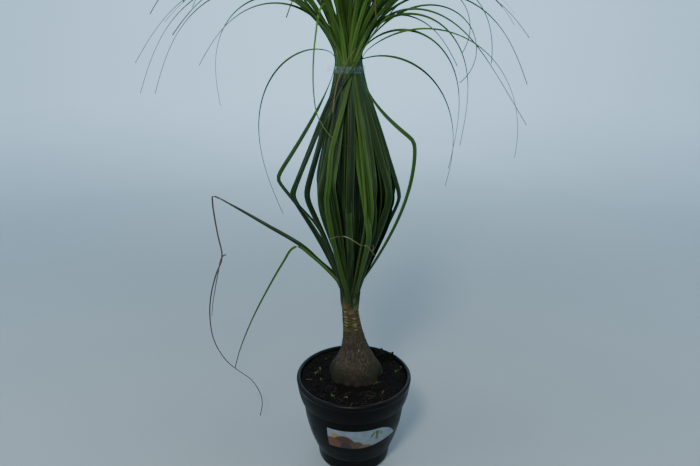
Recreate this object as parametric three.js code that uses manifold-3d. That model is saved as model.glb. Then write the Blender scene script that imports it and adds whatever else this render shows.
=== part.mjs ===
// A ponytail palm in a round black nursery pot, its long leaves gathered by a clear tape tie.
// Millimetres, +Z up. The origin is the middle of the pot's underside.
// In the photograph the viewer looks along +Y, with +X to the right.

import * as THREE from 'three';
import { mergeVertices } from 'three/addons/utils/BufferGeometryUtils.js';
import Module from 'manifold-3d';

const wasm = await Module();
wasm.setup();

// Clearance kept between pieces that touch
const GAP = 0.3;

// Pot: a bell-shaped body on a narrower foot, with a skirt that hangs from a rounded lip
const POT_SEGMENTS = 40;
const WALL = 2.2;
const FLOOR = 3;
const FOOT_R = 74.5;
const FOOT_TOP_R = 79;
const FOOT_H = 34;
const FOOT_CORNER = 9;
const BODY_Z = 38;
const BODY_R = 82;
const NECK_RING_Z = 150;
const NECK_RING_R = 106;
const BODY_CURVE = 1.9;
const BODY_ROWS = 5;
const SKIRT_R = 112;
const SKIRT_TOP_Z = 185;
const LIP_Z = 191;
const POT_H = 196.5;
const OPENING_R = 110.8;
const OUTLINE_STEPS = 2;
const DRAIN_COUNT = 6;
const DRAIN_START = 30;
const DRAIN_R = 6;
const DRAIN_SIDES = 10;
const DRAIN_RING_R = 56;

// Radius and height of the skirt's inner face from the top down, and of the curves that run from its
// outer lower edge over the lip to the opening, each as a control point and an end point
const SKIRT_INSIDE = [[116, SKIRT_TOP_Z], [115, 168.5], [110, NECK_RING_Z + 1]];
const LIP_CURVES = [
  [118, 168.5, 118.6, 186], [120.6, 190, 119.4, 194], [118, POT_H, 115.5, POT_H],
  [111.2, POT_H, OPENING_R, LIP_Z],
];

// Soil, with the distance of each ring of clods from its edge
const SOIL_EDGE_Z = 190;
const SOIL_RIM_DROP = 2;
const SOIL_ROWS = [5, 13, 22, 32, 43, 55];
const SOIL_RISE = 4;
const SOIL_CLOD = 1.7;
const HEAP_ANGLE = 48;
const HEAP_R = 98;
const HEAP_H = 7;
const HEAP_WIDTH = 22;

// Trunk: a swollen base that tapers to a short neck, leaning a little to -X
const TRUNK_SEGMENTS = 26;
const TRUNK_STEPS = 21;
const TRUNK_X = 4;
const TRUNK_Y = 14;
const TRUNK_LEAN = -12.4;
const LEAN_FROM_Z = 225;
const LEAN_OVER = 135;
const TRUNK_TOP_Z = 344.7;
const TRUNK_OUTLINE = [
  [0, 138], [28, 146], [46, 163], [54.5, 180], [56, 192], [52.8, 204], [45.5, 217], [38, 231],
  [31.8, 244], [27, 259], [22.8, 276], [19.8, 297], [17.4, 322], [16.4, TRUNK_TOP_Z],
];
const SCAR_LOW_Z = 292;
const SCAR_PITCH = 8;
const SCAR_DEPTH = 1.1;
const SCAR_FADE = 14;
const SCAR_STARTS = 2;

// Swellings of the base: share of the radius, number round, start in radians, and where they fade
const SWELLINGS = [[0.035, 5, 0.7], [0.022, 8, 2]];
const SWELL_FULL_Z = 188;
const SWELL_FADE = 60;

// Thick roots, out from the base and down, with the draws that vary them
const ROOT_COUNT = 5;
const ROOT_SIDES = 5;
const ROOT_STEPS = 3;
const ROOT_START = 25;
const ROOT_TURN = 12;
const ROOT_FROM_R = 26;
const ROOT_FROM_Z = 165;
const ROOT_KNEE_R = 58;
const ROOT_KNEE_Z = 140;
const ROOT_REACH = 74;
const ROOT_REACH_VARIES = 6;
const ROOT_END_Z = 55;
const ROOT_END_VARIES = 25;
const ROOT_THICK_R = 6.5;
const ROOT_THIN_R = 1.6;
const ROOT_CLEARANCE = 1.3;

// Leaves. The bunch's middle line runs from the neck to the tie, and sways to +X between them.
const NECK_Z = 352;
const TIE_Z = 820;
const NECK_AT = [-8, 14];
const TIE_AT = [-11, 10];
const BUNCH_SWAY = 10;
const GOLDEN_ANGLE = 137.508;
const RULE_LEAVES = 36;
const PATH_STEP = 6;
const PATH_TOLERANCE = 2;
const MOST_TWIST = 0.2;
const KEEL_SHARE = 0.15;
const FOOT_WIDTH_SHARE = 0.72;
const TIE_WIDTH_SHARE = 0.72;
const ARCH_TAPER = 1.3;
const TIP_WIDTH = 1.5;
const BLADE_MIN = 0.7;

// Slim cores that the leaves stand out of, at the neck and at the tie: radius and height
const CORE_SEGMENTS = 14;
const NECK_CORE = [[0, 345], [15.4, 345], [16.3, 352], [16, 385], [12, 410], [7, 450], [0, 500]];
const TIE_CORE = [[0, 735], [9, 775], [20, 806], [22.5, 822], [22.8, 850], [20, 880], [12, 920], [0, 970]];

// Tape tie
const TAPE_R = 29.2;
const TAPE_THICKNESS = 0.7;
const TAPE_W = 12;
const TAPE_SEGMENTS = 26;
const FLAG_ANGLE = 186;
const FLAG_REACH = 8;
const FLAG_THICKNESS = 1.1;
const FLAG_SUNK = 0.5;

// Label on the front of the pot, in degrees round from +X and millimetres up
const LABEL_LEFT = 239;
const LABEL_RIGHT = 324;
const LABEL_LOW_Z = 82;
const LABEL_HIGH_Z = 129;
const LABEL_TIP_Z = 96;
const LABEL_TIP_HALF = 1;
const LABEL_LOW_RISES = 0.4;
const LABEL_HIGH_FALLS = 0.66;
const LABEL_FALL_CURVE = 2.2;
const LABEL_THICKNESS = 0.5;
const LABEL_COLUMNS = 12;
const LABEL_ROWS = 2;

const radians = THREE.MathUtils.degToRad;
const mix = THREE.MathUtils.lerp;
const smooth = (x) => THREE.MathUtils.smoothstep(x, 0, 1);

// A repeatable draw between 0 and 1 for item i and purpose k, and one between -1 and 1
function draw(i, k) {
  const v = Math.sin(i * 12.9898 + k * 78.233 + 4.1) * 43758.5453;
  return v - Math.floor(v);
}

const spread = (i, k) => 2 * draw(i, k) - 1;

// Only positions, with shared corners merged and collapsed triangles dropped
function welded(geometry) {
  geometry.deleteAttribute('normal');
  geometry.deleteAttribute('uv');
  const merged = mergeVertices(geometry, 1e-4);
  const index = merged.index.array;
  const kept = [];
  for (let t = 0; t < index.length; t += 3) {
    const [a, b, c] = [index[t], index[t + 1], index[t + 2]];
    if (a !== b && b !== c && c !== a) kept.push(a, b, c);
  }
  merged.setIndex(kept);
  return merged;
}

function toSolid(geometry) {
  const merged = welded(geometry);
  return new wasm.Manifold(new wasm.Mesh({
    numProp: 3,
    vertProperties: new Float32Array(merged.attributes.position.array),
    triVerts: new Uint32Array(merged.index.array),
  }));
}

function toGeometry(solid) {
  const { vertProperties, triVerts } = solid.getMesh();
  const geometry = new THREE.BufferGeometry();
  geometry.setAttribute('position', new THREE.BufferAttribute(vertProperties, 3));
  geometry.setIndex(new THREE.BufferAttribute(triVerts, 1));
  return geometry;
}

// The one body that counts: loose scraps are dropped and sealed hollows filled
function mainBody(solid) {
  const bodies = solid.decompose();
  return bodies.reduce((best, body) => (body.volume() > best.volume() ? body : best));
}

// A welded turned solid about +Z from an outline of [radius, height] points
function turned(outline, segments) {
  const points = outline.map(([r, z]) => new THREE.Vector2(r, z));
  return welded(new THREE.LatheGeometry(points, segments).rotateX(Math.PI / 2));
}

// Moves every vertex of a welded geometry by a rule on (radius, angle, height)
function reshaped(geometry, rule) {
  const position = geometry.attributes.position;
  const p = new THREE.Vector3();
  for (let v = 0; v < position.count; v += 1) {
    p.fromBufferAttribute(position, v);
    rule(p, Math.hypot(p.x, p.y), Math.atan2(p.y, p.x));
    position.setXYZ(v, p.x, p.y, p.z);
  }
  return geometry;
}

// A closed solid through rings of equal point counts, each ring turning left as seen from its start
function loft(rings) {
  const count = rings[0].length;
  const last = (rings.length - 1) * count;
  const index = [];
  for (let r = 0; r < last; r += count) {
    for (let p = 0; p < count; p += 1) {
      const q = (p + 1) % count;
      index.push(r + p, r + count + p, r + count + q);
      index.push(r + p, r + count + q, r + q);
    }
  }
  // Each end is closed by a zigzag of triangles, which also suits a thin curved strip
  for (let low = 0, high = count - 1; high - low > 1; low += 1, high -= 1) {
    index.push(low, low + 1, high, last + low, last + high, last + low + 1);
    if (high - low < 3) break;
    index.push(low + 1, high - 1, high, last + low + 1, last + high, last + high - 1);
  }
  const geometry = new THREE.BufferGeometry().setFromPoints(rings.flat());
  geometry.setIndex(index);
  return geometry;
}

// Pot wall: the foot's and the body's outer radius at a height
function wallRadius(z) {
  if (z <= FOOT_H) return mix(FOOT_R, FOOT_TOP_R, z / FOOT_H);
  if (z <= BODY_Z) return mix(FOOT_TOP_R, BODY_R, (z - FOOT_H) / (BODY_Z - FOOT_H));
  if (z <= NECK_RING_Z) {
    const t = (z - BODY_Z) / (NECK_RING_Z - BODY_Z);
    return mix(BODY_R, NECK_RING_R, 1 - (1 - t) ** BODY_CURVE);
  }
  return mix(NECK_RING_R, OPENING_R + WALL, (z - NECK_RING_Z) / (LIP_Z - NECK_RING_Z));
}

const innerRadius = (z) => wallRadius(z) - WALL;

// Heights at which the curved body is given a ring of corners
function bodyHeights() {
  return Array.from({ length: BODY_ROWS + 1 }, (_, k) => mix(BODY_Z, NECK_RING_Z, k / BODY_ROWS));
}

function potGeometry() {
  const line = new THREE.Path();
  line.moveTo(0, 0);
  line.lineTo(FOOT_R - FOOT_CORNER, 0);
  line.quadraticCurveTo(FOOT_R, 0, wallRadius(FOOT_CORNER), FOOT_CORNER);
  line.lineTo(FOOT_TOP_R, FOOT_H);
  bodyHeights().forEach((z) => line.lineTo(wallRadius(z), z));
  // Up inside the skirt, and down the skirt's inner face
  line.lineTo(wallRadius(SKIRT_TOP_Z), SKIRT_TOP_Z);
  SKIRT_INSIDE.forEach(([r, z]) => line.lineTo(r, z));
  // The skirt's outer face and the rounded lip
  line.lineTo(SKIRT_R, NECK_RING_Z);
  LIP_CURVES.forEach((curve) => line.quadraticCurveTo(...curve));
  // Down the inside to the floor
  bodyHeights().reverse().forEach((z) => line.lineTo(innerRadius(z), z));
  line.lineTo(FOOT_TOP_R - WALL, FOOT_H);
  line.lineTo(innerRadius(FLOOR), FLOOR);
  line.lineTo(0, FLOOR);
  const outline = line.getPoints(OUTLINE_STEPS).map((p) => [p.x, p.y]);
  let pot = toSolid(turned(outline, POT_SEGMENTS));
  for (let i = 0; i < DRAIN_COUNT; i += 1) {
    const a = radians(DRAIN_START + i * 360 / DRAIN_COUNT);
    const hole = new THREE.CylinderGeometry(DRAIN_R, DRAIN_R, 3 * FLOOR, DRAIN_SIDES).rotateX(Math.PI / 2);
    hole.translate(DRAIN_RING_R * Math.cos(a), DRAIN_RING_R * Math.sin(a), FLOOR / 2);
    pot = pot.subtract(toSolid(hole));
  }
  return toGeometry(pot);
}

// Smooth height of the soil, a little higher at the trunk, with a heap at the back right
function soilHeight(x, y) {
  const r = Math.hypot(x, y);
  const heapX = HEAP_R * Math.cos(radians(HEAP_ANGLE));
  const heapY = HEAP_R * Math.sin(radians(HEAP_ANGLE));
  const heap = HEAP_H * Math.exp(-((x - heapX) ** 2 + (y - heapY) ** 2) / HEAP_WIDTH ** 2);
  return SOIL_EDGE_Z + SOIL_RISE * (1 - r / OPENING_R) + heap;
}

function soilGeometry() {
  const low = FLOOR + GAP;
  const rim = SOIL_EDGE_Z - SOIL_RIM_DROP;
  const edge = innerRadius(rim) - GAP;
  const rows = SOIL_ROWS.map((inset) => edge - inset);
  const outline = [
    [0, low],
    [innerRadius(low) - GAP, low],
    [FOOT_TOP_R - WALL - GAP, FOOT_H],
    ...bodyHeights().map((z) => [innerRadius(z) - GAP, z]),
    [edge, rim],
    ...rows.map((r) => [r, SOIL_EDGE_Z]),
    [0, SOIL_EDGE_Z],
  ];
  const soil = reshaped(turned(outline, POT_SEGMENTS), (p, r, angle) => {
    if (p.z < rim - 0.5) return;
    const column = Math.round(angle / (2 * Math.PI) * POT_SEGMENTS + POT_SEGMENTS) % POT_SEGMENTS;
    const row = rows.findIndex((value) => value < r + 1);
    const clod = p.z < rim + 0.5 ? 0 : SOIL_CLOD * spread(column, row + 2);
    p.z += soilHeight(p.x, p.y) - SOIL_EDGE_Z + clod;
  });
  return toGeometry(mainBody(toSolid(soil).subtract(trunkSolid(GAP + 0.1))));
}

const trunkAxisX = (z) => TRUNK_X + TRUNK_LEAN * smooth((z - LEAN_FROM_Z) / LEAN_OVER);

// Ridges left by fallen leaves, stepping round the neck in a spiral
function scarHeight(z, angle) {
  if (z < SCAR_LOW_Z) return 0;
  const phase = (z - SCAR_LOW_Z) / SCAR_PITCH + SCAR_STARTS * angle / (2 * Math.PI);
  return SCAR_DEPTH * (phase - Math.floor(phase) - 0.5) * smooth((z - SCAR_LOW_Z) / SCAR_FADE);
}

// Buttress-like swellings where the base goes into the soil
function baseSwelling(z, angle) {
  const fade = 1 - smooth((z - SWELL_FULL_Z) / SWELL_FADE);
  const waves = SWELLINGS.map(([share, count, start]) => share * Math.sin(count * angle + start));
  return fade * waves.reduce((sum, wave) => sum + wave);
}

// The trunk with its buried roots, made larger all round by grow to cut the soil
function trunkSolid(grow) {
  const curve = new THREE.SplineCurve(TRUNK_OUTLINE.map(([r, z]) => new THREE.Vector2(r, z)));
  const rows = curve.getPoints(TRUNK_STEPS).filter((p) => p.y < SCAR_LOW_Z).map((p) => [p.x, p.y]);
  const neck = TRUNK_OUTLINE.filter(([, z]) => z > SCAR_LOW_Z);
  for (let z = SCAR_LOW_Z + 1; z < TRUNK_TOP_Z - 1; z += SCAR_PITCH / 2) {
    const next = neck.findIndex(([, height]) => height > z);
    const [highR, highZ] = neck[next];
    const [lowR, lowZ] = next > 0 ? neck[next - 1] : rows.at(-1);
    rows.push([mix(lowR, highR, (z - lowZ) / (highZ - lowZ)), z]);
  }
  rows.push(TRUNK_OUTLINE.at(-1), [0, TRUNK_TOP_Z]);
  rows[0][0] = 0;
  const trunk = reshaped(turned(rows, TRUNK_SEGMENTS), (p, r, angle) => {
    const radius = r > 0.01 ? r * (1 + baseSwelling(p.z, angle)) + scarHeight(p.z, angle) + grow : 0;
    p.x = trunkAxisX(p.z) + radius * Math.cos(angle);
    p.y = TRUNK_Y + radius * Math.sin(angle);
    if (r <= 0.01 && p.z < TRUNK_TOP_Z) p.z -= grow;
  });
  const roots = Array.from({ length: ROOT_COUNT }, (_, i) => toSolid(rootGeometry(i, grow)));
  return wasm.Manifold.union([toSolid(trunk), ...roots]);
}

// One thick root, out and down from the underside of the base
function rootGeometry(i, grow) {
  const a = radians(ROOT_START + i * 360 / ROOT_COUNT + ROOT_TURN * spread(i, 40));
  const reach = ROOT_REACH + ROOT_REACH_VARIES * spread(i, 41);
  const endZ = ROOT_END_Z + ROOT_END_VARIES * draw(i, 42);
  const out = new THREE.Vector3(Math.cos(a), Math.sin(a), 0);
  const foot = new THREE.Vector3(TRUNK_X, TRUNK_Y, ROOT_FROM_Z);
  const curve = new THREE.QuadraticBezierCurve3(
    foot.clone().addScaledVector(out, ROOT_FROM_R),
    foot.clone().addScaledVector(out, ROOT_KNEE_R).setZ(ROOT_KNEE_Z),
    new THREE.Vector3(reach * Math.cos(a), reach * Math.sin(a), endZ),
  );
  const side = new THREE.Vector3(-Math.sin(a), Math.cos(a), 0);
  const rings = [];
  for (let k = 0; k <= ROOT_STEPS; k += 1) {
    const u = k / ROOT_STEPS;
    const ends = k === ROOT_STEPS ? grow : 0;
    const tangent = curve.getTangent(u);
    const normal = new THREE.Vector3().crossVectors(side, tangent);
    const radius = mix(ROOT_THICK_R, ROOT_THIN_R, u) + ROOT_CLEARANCE * grow;
    rings.push(Array.from({ length: ROOT_SIDES }, (_, s) => {
      const turn = s / ROOT_SIDES * 2 * Math.PI;
      return curve.getPoint(u).addScaledVector(tangent, ends)
        .addScaledVector(side, radius * Math.cos(turn))
        .addScaledVector(normal, radius * Math.sin(turn));
    }));
  }
  return loft(rings);
}

// The middle line of the leaf bunch between the trunk and the tie
function bunchAxis(z) {
  const t = THREE.MathUtils.clamp((z - NECK_Z) / (TIE_Z - NECK_Z), 0, 1);
  return [mix(NECK_AT[0], TIE_AT[0], t) + BUNCH_SWAY * Math.sin(Math.PI * t), mix(NECK_AT[1], TIE_AT[1], t)];
}

// What every leaf has unless it says otherwise. Angles are in degrees. A leaf stands against its
// neighbours up to sheathZ, runs out from there to its bulge, back in to the tie, and from there in an
// arch whose heading goes from rise to fall, both measured from straight up.
const LEAF = {
  azimuth: 0, turn: 0, turnCurve: 1.5, rootR: 15, rootZ: 348, sheathZ: 365, bulge: 70, bulgeZ: 585,
  crease: 50, bow: 0, lowCurve: 1.3, highCurve: 1.15, tieR: 24.5, arch: 0, rise: 35, fall: 180, free: 420,
  haste: 1.6, lag: 1, join: 40, sway: 0, width: 12,
};

// The leaves that show singly in the photograph: the folded ones at the sides and the long arches
const SHOWN_LEAVES = [
  { azimuth: 182, bulge: 143, bulgeZ: 618, crease: 14, lowCurve: 1.5, highCurve: 1.2, arch: 184.6,
    rise: 20, fall: 201, haste: 1.76, lag: 0.71, width: 9 },
  { azimuth: 188, turn: 78, turnCurve: 10, bulge: 116, bulgeZ: 588, crease: 12, tieR: 26, arch: 2,
    rise: 55, fall: 193, free: 375, haste: 1.5, join: 25, width: 11 },
  { azimuth: 196, bulge: 92, bulgeZ: 590, crease: 14, arch: 184, rise: 18, fall: 160, free: 480,
    haste: 2, lag: 1.5 },
  { azimuth: -6, sheathZ: 392, bulge: 110, bulgeZ: 692, crease: 10, bow: 1, highCurve: 2, arch: 2,
    rise: 38, fall: 186, free: 475, haste: 1.2, width: 8.5 },
  { azimuth: 4, bulge: 86, bulgeZ: 577, crease: 8, arch: -5, rise: 10, fall: 146, free: 450, haste: 4.5,
    lag: 1.6, width: 11 },
  { azimuth: 170, arch: 176, rise: 14, fall: 187, free: 430, haste: 2, lag: 1.6 },
  { azimuth: 12, arch: 0, rise: 25, fall: 190, haste: 2.5, lag: 1.3 },
  { azimuth: -30, arch: -2, rise: 12, fall: 188, free: 430, haste: 2.4, lag: 1.4 },
  { azimuth: -14, arch: 6, rise: 32, fall: 235, free: 373, haste: 1, lag: 1.7 },
  { azimuth: 20, arch: 2, rise: 20, fall: 156, free: 450, haste: 2, lag: 1.5 },
  { azimuth: 35, arch: 8, rise: 18, fall: 212, free: 372, haste: 1.1, lag: 1.8 },
  { azimuth: 48, arch: 4, rise: 18, free: 425, lag: 1.8 },
  { azimuth: 205, arch: 180, rise: 18, fall: 145, free: 490, haste: 2, lag: 1.5 },
  { azimuth: 160, arch: 182, rise: 20, fall: 158, free: 520, haste: 2, lag: 1.5 },
  { azimuth: 60, arch: 10, rise: 8, fall: 150, free: 290, haste: 2, lag: 1.4 },
  { azimuth: 150, arch: 186, rise: 14, fall: 148, free: 350, haste: 2, lag: 1.5 },
];

// The rest of the bunch, from the outermost leaf (t = 0) to the innermost (t = 1)
function ruleLeaf(i) {
  const t = i / (RULE_LEAVES - 1);
  const azimuth = (20 + i * GOLDEN_ANGLE) % 360;
  const towardsFront = Math.max(0, Math.cos(radians(azimuth + 90)));
  return {
    azimuth,
    turn: 8 * spread(i, 1),
    rootR: 14 - 10 * t,
    rootZ: NECK_Z - 6 + 20 * t,
    bulge: (80 - 62 * t ** 0.9) * (1 + 0.08 * spread(i, 2)),
    bulgeZ: 580 + 30 * spread(i, 3),
    crease: 30 + 50 * draw(i, 4) + 40 * t,
    lowCurve: 1.4 + 0.15 * spread(i, 5),
    highCurve: 1.15 + 0.15 * spread(i, 6),
    tieR: 26.3 - 21 * t,
    arch: azimuth + 20 * spread(i, 7),
    rise: 29 - 27 * t + 5 * spread(i, 8),
    fall: 135 + 20 * spread(i, 9) - 15 * towardsFront - 20 * t,
    free: (430 + 50 * spread(i, 10) - 20 * t) * (1 - 0.12 * towardsFront),
    haste: 1.3,
    lag: 1.5 + 0.5 * draw(i, 11),
    join: 50,
    sway: 20 * spread(i, 12),
    width: 14.5 + 1.5 * spread(i, 13),
  };
}

// Distance from the bunch's middle line: the lower of an outward and an inward line, rounded at the crease
function leafRadius(leaf, z) {
  const peak = leaf.bulge + leaf.crease / 2;
  const t = Math.max(0, (z - leaf.sheathZ) / (leaf.bulgeZ - leaf.sheathZ));
  const u = Math.max(0, (TIE_Z - z) / (TIE_Z - leaf.bulgeZ));
  const bowed = Math.sin(Math.min(1, t) * Math.PI / 2);
  const outward = leaf.rootR + (peak - leaf.rootR) * mix(t ** leaf.lowCurve, bowed, leaf.bow);
  const inward = leaf.tieR + (peak - leaf.tieR) * u ** leaf.highCurve;
  return 0.5 * (outward + inward - Math.hypot(outward - inward, leaf.crease));
}

// Heading of the free arch at a share u of its length, in degrees from straight up
function archHeading(leaf, u) {
  const bend = 1 - (1 - u ** leaf.lag) ** leaf.haste;
  return leaf.rise + (leaf.fall - leaf.rise) * bend;
}

// Stations along a leaf: a point, the direction across the blade, and the blade's width there
function leafStations(leaf) {
  const stations = [];
  const below = Math.floor((TIE_Z - leaf.rootZ) / PATH_STEP);
  for (let k = 0; k <= below; k += 1) {
    const z = mix(leaf.rootZ, TIE_Z, k / below);
    const wound = Math.max(0, (z - NECK_Z) / (TIE_Z - NECK_Z)) ** leaf.turnCurve;
    const a = radians(leaf.azimuth + leaf.turn * wound);
    const [axisX, axisY] = bunchAxis(z);
    const r = leafRadius(leaf, z);
    const share = z < leaf.bulgeZ
      ? mix(FOOT_WIDTH_SHARE, 1, smooth((z - leaf.rootZ) / (leaf.bulgeZ - leaf.rootZ)))
      : mix(1, TIE_WIDTH_SHARE, smooth((z - leaf.bulgeZ) / (TIE_Z - leaf.bulgeZ)));
    stations.push({
      point: new THREE.Vector3(axisX + r * Math.cos(a), axisY + r * Math.sin(a), z),
      across: a,
      width: leaf.width * share,
    });
  }
  const tied = stations.at(-1);
  const before = stations.at(-2).point;
  const incoming = tied.point.clone().sub(before).normalize();
  const wrap = THREE.MathUtils.euclideanModulo(radians(leaf.arch) - tied.across + Math.PI, 2 * Math.PI);
  const swing = wrap - Math.PI;
  const point = tied.point.clone();
  const above = Math.floor(leaf.free / PATH_STEP);
  for (let k = 1; k <= above; k += 1) {
    const length = (k - 0.5) * leaf.free / above;
    const u = length / leaf.free;
    const heading = radians(archHeading(leaf, u));
    const a = radians(leaf.arch + leaf.sway * u);
    const free = new THREE.Vector3(
      Math.sin(heading) * Math.cos(a), Math.sin(heading) * Math.sin(a), Math.cos(heading),
    );
    const eased = smooth(length / leaf.join);
    const step = incoming.clone().lerp(free, eased).normalize();
    point.addScaledVector(step, leaf.free / above);
    stations.push({
      point: point.clone(),
      across: tied.across + swing * eased + radians(leaf.sway * u),
      width: Math.max(TIP_WIDTH, leaf.width * TIE_WIDTH_SHARE * (1 - k / above) ** ARCH_TAPER),
    });
  }
  return stations;
}

// A narrow leaf that rises from the tie, folds over and hangs down in front of the bunch
const FOLDED_OVER = [
  [-24, 4, 815], [-30, -6, 852], [-37, -12, 894], [-38, -16, 915], [-43, -20, 926], [-50, -24, 929],
  [-56, -27, 923], [-61, -30, 909], [-65, -34, 884], [-69, -38, 852], [-71, -42, 814], [-70, -46, 781],
  [-65, -50, 749], [-53, -53, 726], [-39, -56, 709], [-25, -58, 698], [-3, -58, 693],
];
const FOLDED_OVER_WIDTHS = [7, 1.5];

// The two leaves that have sprung out of the tie, by points on their way from the neck to the fold and on
const STRAY_HIGH = [
  [-12, 12, 360], [-22, 8, 384], [-29, 6, 402], [-38, 5, 420], [-70, 8, 450], [-102, 14, 479],
  [-172, 28, 518], [-223, 37, 546], [-262, 43, 567],
];
const STRAY_LOW = [
  [-12, 8, 358], [-21, 2, 384], [-30, -1, 406], [-52, -3, 434], [-84, -4, 466], [-109, -4, 485],
  [-122, -5, 479], [-136, -6, 457], [-166, -7, 405], [-206, -7, 327], [-235, -6, 256], [-248, -5, 212],
];
const STRAY_HIGH_WIDTHS = [9, 3];
const STRAY_LOW_WIDTHS = [7, 1.8];

// The dry end of the upper one hangs from its fold to just above the ground, and has split once
const DRY_END = [
  [-262.4, 43, 567.2], [-277, 44, 572], [-279, 46, 560], [-278, 47, 532], [-275, 52, 488],
  [-271, 58, 437], [-288, 64, 394], [-303, 70, 345], [-311, 77, 293], [-309, 86, 227], [-288, 94, 171],
  [-267, 98, 145], [-234, 104, 111], [-216, 110, 67], [-215, 114, 36], [-222, 117, 4],
];
const DRY_SPLIT = [
  [-262, 57, 443], [-271, 58, 437], [-282, 58, 400], [-291, 57, 362], [-297, 56, 334], [-302, 56, 301],
];
const DRY_WIDTH = 2;
const DRY_SPLIT_WIDTH = 3;

// Stations along a hand-placed route, with the width given by a rule on the share of its length
function routeStations(route, widthAt) {
  const curve = new THREE.CatmullRomCurve3(route.map((p) => new THREE.Vector3(...p)), false, 'centripetal');
  const steps = Math.ceil(curve.getLength() / PATH_STEP);
  return Array.from({ length: steps + 1 }, (_, k) => ({
    point: curve.getPointAt(k / steps),
    across: Math.PI,
    width: widthAt(k / steps),
  }));
}

// Indices of the stations that are needed to stay within the tolerance of the full line
function neededStations(stations, first, last) {
  const chord = new THREE.Line3(stations[first].point, stations[last].point);
  const near = new THREE.Vector3();
  let worst = 0;
  let at = first;
  for (let k = first + 1; k < last; k += 1) {
    chord.closestPointToPoint(stations[k].point, true, near);
    const off = near.distanceTo(stations[k].point);
    if (off > worst) {
      worst = off;
      at = k;
    }
  }
  const twist = Math.abs(stations[last].across - stations[first].across);
  if (worst < PATH_TOLERANCE) {
    if (twist < MOST_TWIST || last - first < 2) return [first, last];
    at = Math.round((first + last) / 2);
  }
  return [...neededStations(stations, first, at), ...neededStations(stations, at, last).slice(1)];
}

// A blade: flat on the inner side, keeled on the outer, with a ring of three corners at each station
function bladeGeometry(stations) {
  const rings = neededStations(stations, 0, stations.length - 1).map((k) => {
    const { point, across, width } = stations[k];
    const before = stations[Math.max(0, k - 1)].point;
    const after = stations[Math.min(stations.length - 1, k + 1)].point;
    const tangent = after.clone().sub(before).normalize();
    const side = new THREE.Vector3(-Math.sin(across), Math.cos(across), 0);
    side.addScaledVector(tangent, -side.dot(tangent)).normalize();
    const keel = new THREE.Vector3().crossVectors(side, tangent);
    return [
      point.clone().addScaledVector(side, -width / 2),
      point.clone().addScaledVector(side, width / 2),
      point.clone().addScaledVector(keel, Math.max(BLADE_MIN, KEEL_SHARE * width)),
    ];
  });
  return loft(rings);
}

function coreSolid(outline) {
  const core = reshaped(turned(outline, CORE_SEGMENTS), (p) => {
    const [axisX, axisY] = bunchAxis(p.z);
    p.x += axisX;
    p.y += axisY;
  });
  return toSolid(core);
}

function leafCrownGeometry() {
  const shown = SHOWN_LEAVES.map((leaf) => leafStations({ ...LEAF, ...leaf }));
  const filling = Array.from({ length: RULE_LEAVES }, (_, i) => leafStations({ ...LEAF, ...ruleLeaf(i) }));
  const strays = [
    routeStations(FOLDED_OVER, (u) => mix(...FOLDED_OVER_WIDTHS, u)),
    routeStations(STRAY_HIGH, (u) => mix(...STRAY_HIGH_WIDTHS, u ** 3)),
    routeStations(STRAY_LOW, (u) => mix(...STRAY_LOW_WIDTHS, u)),
  ];
  const blades = [...shown, ...filling, ...strays].map((stations) => toSolid(bladeGeometry(stations)));
  return toGeometry(mainBody(wasm.Manifold.union([coreSolid(NECK_CORE), coreSolid(TIE_CORE), ...blades])));
}

function dryEndGeometry() {
  const end = toSolid(bladeGeometry(routeStations(DRY_END, () => DRY_WIDTH)));
  const split = toSolid(bladeGeometry(routeStations(DRY_SPLIT, (u) => mix(DRY_SPLIT_WIDTH, TIP_WIDTH, u))));
  return toGeometry(mainBody(end.add(split)));
}

// A closed band of clear tape round the bunch, with its two ends stuck together in a short flag
function tapeGeometry() {
  const [axisX, axisY] = bunchAxis(TIE_Z);
  const [low, high] = [TIE_Z - TAPE_W / 2, TIE_Z + TAPE_W / 2];
  const outer = TAPE_R + TAPE_THICKNESS;
  const section = [[TAPE_R, low], [outer, low], [outer, high], [TAPE_R, high], [TAPE_R, low]];
  const band = turned(section, TAPE_SEGMENTS);
  const flag = new THREE.BoxGeometry(FLAG_REACH, FLAG_THICKNESS, TAPE_W);
  flag.translate(outer - FLAG_SUNK + FLAG_REACH / 2, 0, TIE_Z).rotateZ(radians(FLAG_ANGLE));
  return toGeometry(toSolid(band).add(toSolid(flag))).translate(axisX, axisY, 0);
}

// The label's lower and upper edge at a share u of its way from left to right, where it ends in a point
function labelEdges(u) {
  const rise = smooth((u - LABEL_LOW_RISES) / (1 - LABEL_LOW_RISES));
  const drop = Math.max(0, (u - LABEL_HIGH_FALLS) / (1 - LABEL_HIGH_FALLS)) ** LABEL_FALL_CURVE;
  return [
    mix(LABEL_LOW_Z, LABEL_TIP_Z - LABEL_TIP_HALF, rise),
    mix(LABEL_HIGH_Z, LABEL_TIP_Z + LABEL_TIP_HALF, drop),
  ];
}

function labelGeometry() {
  const rings = [];
  for (let c = 0; c <= LABEL_COLUMNS; c += 1) {
    const u = c / LABEL_COLUMNS;
    const a = radians(mix(LABEL_LEFT, LABEL_RIGHT, u));
    const [low, high] = labelEdges(u);
    const place = (z, off) => {
      const r = wallRadius(z) + GAP + off;
      return new THREE.Vector3(r * Math.cos(a), r * Math.sin(a), z);
    };
    const heights = Array.from({ length: LABEL_ROWS + 1 }, (_, k) => mix(low, high, k / LABEL_ROWS));
    const back = heights.map((z) => place(z, 0));
    const front = heights.map((z) => place(z, LABEL_THICKNESS)).reverse();
    rings.push([...back, ...front].reverse());
  }
  return loft(rings);
}

const finish = (color, roughness, options = {}) => new THREE.MeshStandardMaterial({
  color, roughness, metalness: 0, ...options,
});

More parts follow.
